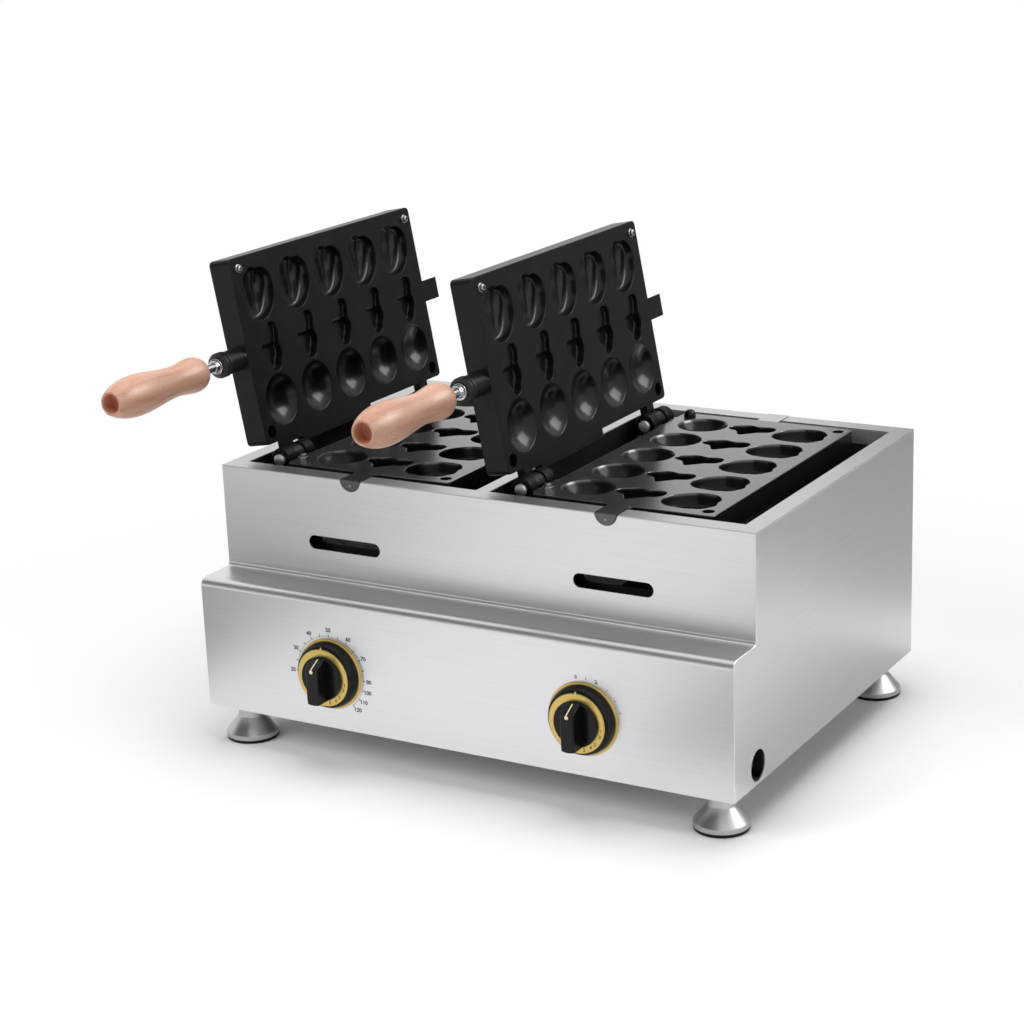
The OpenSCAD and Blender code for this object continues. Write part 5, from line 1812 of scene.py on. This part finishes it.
def set_world(strength):
    """White behind the machine and in its reflections, and an even soft light on it."""
    world = bpy.data.worlds.new("studio")
    world.use_nodes = True
    bpy.context.scene.world = world
    graph = Graph(world.node_tree)
    world.node_tree.nodes.clear()
    light = graph.node("ShaderNodeBackground", {}, {"Color": WHITE, "Strength": strength})
    white = graph.node("ShaderNodeBackground", {}, {"Color": WHITE, "Strength": 1.0})
    both = graph.node("ShaderNodeMixShader", {}, {0: shown_rays(graph), 1: light, 2: white})
    graph.node("ShaderNodeOutputWorld", {}, {"Surface": both})


def softbox(name, place, target, size, power, mirrored=False, lights=True):
    """A square lamp that faces a target; it may show in reflections, or only there."""
    lamp = bpy.data.lights.new(name, "AREA")
    lamp.shape = "RECTANGLE"
    lamp.size, lamp.size_y = size
    lamp.energy = power
    holder = bpy.data.objects.new(name, lamp)
    bpy.context.scene.collection.objects.link(holder)
    holder.location = place
    holder.rotation_euler = (Vector(target) - Vector(place)).to_track_quat("-Z", "Y").to_euler()
    holder.visible_glossy = mirrored
    holder.visible_diffuse = lights


def dark_card(name, place, size, grey):
    """A card by the machine that only reflections show."""
    finish = Finish(name, Base_Color=(grey, grey, grey, 1), Roughness=0.9, Specular_IOR_Level=0.0)
    made = stage_plane(name, size, place, finish.material)
    for rays in ("camera", "diffuse", "transmission", "shadow"):
        setattr(made, f"visible_{rays}", False)


def lying_card(name, low, high, grey):
    """A card on the floor."""
    low, high = Vector(low), Vector(high)
    dark_card(name, Matrix.Translation((*((low + high) / 2), 2 * MM)), tuple(high - low), grey)


def standing_card(name, compass, distance, size, low_edge, grey):
    """An upright card that faces the machine from a compass angle, measured from +X toward +Y."""
    turn = math.radians(compass)
    middle = Vector((distance * math.cos(turn), distance * math.sin(turn), low_edge + size[1] / 2))
    upright = Vector((-math.cos(turn), -math.sin(turn), 0)).to_track_quat("Z", "Y").to_matrix().to_4x4()
    dark_card(name, Matrix.Translation(middle) @ upright, size, grey)


def set_camera(sizes):
    """Camera at the viewing angle."""
    camera = bpy.data.cameras.new("camera")
    camera.lens, camera.sensor_width = sizes.lens, 36.0
    camera.clip_end = 50.0
    holder = bpy.data.objects.new("camera", camera)
    bpy.context.scene.collection.objects.link(holder)
    turn, tilt = sizes.azimuth, sizes.elevation
    ahead = Vector((-math.sin(turn) * math.cos(tilt), math.cos(turn) * math.cos(tilt), -math.sin(tilt)))
    right = Vector((math.cos(turn), math.sin(turn), 0))
    up = right.cross(ahead)
    across = right * math.cos(sizes.roll) + up * math.sin(sizes.roll)
    upward = up * math.cos(sizes.roll) - right * math.sin(sizes.roll)
    matrix = Matrix((across, upward, -ahead)).transposed().to_4x4()
    matrix.translation = sizes.camera_place
    holder.matrix_world = matrix
    bpy.context.scene.camera = holder


def build_stage(context):
    """Floor, world, lamps and camera."""
    sizes = context.scene.waffle_stage
    context.scene.view_settings.view_transform = "Standard"
    set_world(sizes.ambient)
    stage_plane("floor", (14.0, 14.0), Matrix.Identity(4), floor_material())
    middle = (0, 0, 0.15)
    softbox("key_lamp", (-1.4, -1.9, 1.7), middle, (1.4, 1.4), sizes.key_power)
    softbox("fill_lamp", (2.2, -0.6, 1.1), middle, (1.2, 1.2), sizes.fill_power)
    softbox("top_lamp", (0.1, 0.2, 2.1), middle, (1.8, 1.8), sizes.top_power)
    softbox("glint_lamp", (1.45, 0.95, 1.75), middle, (1.5, 1.1), sizes.glint_power,
            mirrored=True, lights=False)
    lying_card("left_card", (-1.3, -0.9), (-0.4, -0.27), 0.9 * sizes.card_grey)
    lying_card("front_card", (0.1, -0.75), (0.7, -0.36), sizes.card_grey)
    lying_card("right_card", (0.36, 0.42), (1.4, 1.7), 1.8 * sizes.card_grey)
    lying_card("side_card", (0.3, -0.1), (0.44, 0.3), 2 * sizes.card_grey)
    standing_card("front_wall", -115, 1.7, (3.2, 2.3), 0.45, 0.9 * sizes.card_grey)
    standing_card("rear_wall", 72, 1.6, (2.0, 1.1), 0.0, 1.5 * sizes.card_grey)
    standing_card("right_wall", 22, 1.6, (1.4, 0.4), 0.0, 1.5 * sizes.card_grey)
    set_camera(sizes)


# ---------- operators, panel and registration ----------

class WAFFLE_OT_housing(bpy.types.Operator):
    """Front sheet and both sides"""

    bl_idname = "waffle.housing"
    bl_label = "Housing sheets"
    bl_options = {"REGISTER", "UNDO"}

    def execute(self, context):
        build_housing(context)
        return {"FINISHED"}


class WAFFLE_OT_rim(bpy.types.Operator):
    """Flat rim in three parts between the lug notches"""

    bl_idname = "waffle.rim"
    bl_label = "Rim"
    bl_options = {"REGISTER", "UNDO"}

    def execute(self, context):
        build_rim(context)
        return {"FINISHED"}


class WAFFLE_OT_lower_plates(bpy.types.Operator):
    """Lower plates of both stations"""

    bl_idname = "waffle.lower_plates"
    bl_label = "Lower plates"
    bl_options = {"REGISTER", "UNDO"}

    def execute(self, context):
        build_lower_plates(context)
        return {"FINISHED"}


class WAFFLE_OT_lids(bpy.types.Operator):
    """Upper plates of both stations, standing open"""

    bl_idname = "waffle.lids"
    bl_label = "Lids"
    bl_options = {"REGISTER", "UNDO"}

    def execute(self, context):
        build_lids(context)
        return {"FINISHED"}


class WAFFLE_OT_hinge_pins(bpy.types.Operator):
    """Domed pins through the ears"""

    bl_idname = "waffle.hinge_pins"
    bl_label = "Hinge pins"
    bl_options = {"REGISTER", "UNDO"}

    def execute(self, context):
        build_hinge_pins(context)
        return {"FINISHED"}


class WAFFLE_OT_plate_fasteners(bpy.types.Operator):
    """Lower plates: hex nut, recessed socket screws and the lug's set screw"""

    bl_idname = "waffle.plate_fasteners"
    bl_label = "Plate fasteners"
    bl_options = {"REGISTER", "UNDO"}

    def execute(self, context):
        build_plate_fasteners(context)
        return {"FINISHED"}


class WAFFLE_OT_lid_fasteners(bpy.types.Operator):
    """Lids: flanged studs at the free edge and sunk screws at the hinge edge"""

    bl_idname = "waffle.lid_fasteners"
    bl_label = "Lid fasteners"
    bl_options = {"REGISTER", "UNDO"}

    def execute(self, context):
        build_lid_fasteners(context)
        return {"FINISHED"}


class WAFFLE_OT_handles(bpy.types.Operator):
    """Rod, collar, nut and grip of each lid"""

    bl_idname = "waffle.handles"
    bl_label = "Handles"
    bl_options = {"REGISTER", "UNDO"}

    def execute(self, context):
        build_handles(context)
        return {"FINISHED"}


class WAFFLE_OT_feet(bpy.types.Operator):
    """Polished cone feet"""

    bl_idname = "waffle.feet"
    bl_label = "Feet"
    bl_options = {"REGISTER", "UNDO"}

    def execute(self, context):
        build_feet(context)
        return {"FINISHED"}


class WAFFLE_OT_dials(bpy.types.Operator):
    """Rims, skirts, knobs, rings and pointers"""

    bl_idname = "waffle.dials"
    bl_label = "Dials"
    bl_options = {"REGISTER", "UNDO"}

    def execute(self, context):
        build_dials(context)
        return {"FINISHED"}


class WAFFLE_OT_dial_marks(bpy.types.Operator):
    """Printed scales on the panel and small numbers on the turning rings"""

    bl_idname = "waffle.dial_marks"
    bl_label = "Dial marks"
    bl_options = {"REGISTER", "UNDO"}

    def execute(self, context):
        build_dial_marks(context)
        return {"FINISHED"}


class WAFFLE_OT_carried_nodes(bpy.types.Operator):
    """Gives the frame's own nodes their finishes"""

    bl_idname = "waffle.carried_nodes"
    bl_label = "Frame nodes"
    bl_options = {"REGISTER", "UNDO"}

    def execute(self, context):
        finish_carried(context)
        return {"FINISHED"}


class WAFFLE_OT_stage(bpy.types.Operator):
    """Floor, world, lamps and camera"""

    bl_idname = "waffle.stage"
    bl_label = "Stage"
    bl_options = {"REGISTER", "UNDO"}

    def execute(self, context):
        build_stage(context)
        return {"FINISHED"}


BUILD_STEPS = [
    WAFFLE_OT_housing,
    WAFFLE_OT_rim,
    WAFFLE_OT_lower_plates,
    WAFFLE_OT_lids,
    WAFFLE_OT_hinge_pins,
    WAFFLE_OT_plate_fasteners,
    WAFFLE_OT_lid_fasteners,
    WAFFLE_OT_handles,
    WAFFLE_OT_feet,
    WAFFLE_OT_dials,
    WAFFLE_OT_dial_marks,
    WAFFLE_OT_carried_nodes,
    WAFFLE_OT_stage,
]


class WAFFLE_PT_parts(bpy.types.Panel):
    """Lists the parts that can be built"""

    bl_label = "Waffle machine"
    bl_idname = "WAFFLE_PT_parts"
    bl_space_type = "VIEW_3D"
    bl_region_type = "UI"
    bl_category = "Waffle"

    def draw(self, context):
        for step in BUILD_STEPS:
            self.layout.operator(step.bl_idname)


def register():
    """Registers the sizes, colours, operators and panel."""
    for group in GROUPS.values():
        bpy.utils.register_class(group)
    for name, group in GROUPS.items():
        setattr(bpy.types.Scene, name, PointerProperty(type=group))
    for step in BUILD_STEPS:
        bpy.utils.register_class(step)
    bpy.utils.register_class(WAFFLE_PT_parts)


def unregister():
    """Takes all of them away again."""
    bpy.utils.unregister_class(WAFFLE_PT_parts)
    for step in reversed(BUILD_STEPS):
        bpy.utils.unregister_class(step)
    for name, group in GROUPS.items():
        delattr(bpy.types.Scene, name)
        bpy.utils.unregister_class(group)


def main():
    """Builds every part."""
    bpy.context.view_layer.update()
    register()
    FINISHES.update(make_finishes(bpy.context.scene.waffle_colours))
    TREES.update(copies=copies_tree(), ring=ring_tree())
    for step in BUILD_STEPS:
        group, name = step.bl_idname.split(".")
        getattr(getattr(bpy.ops, group), name)()


if __name__ == "__main__":
    main()
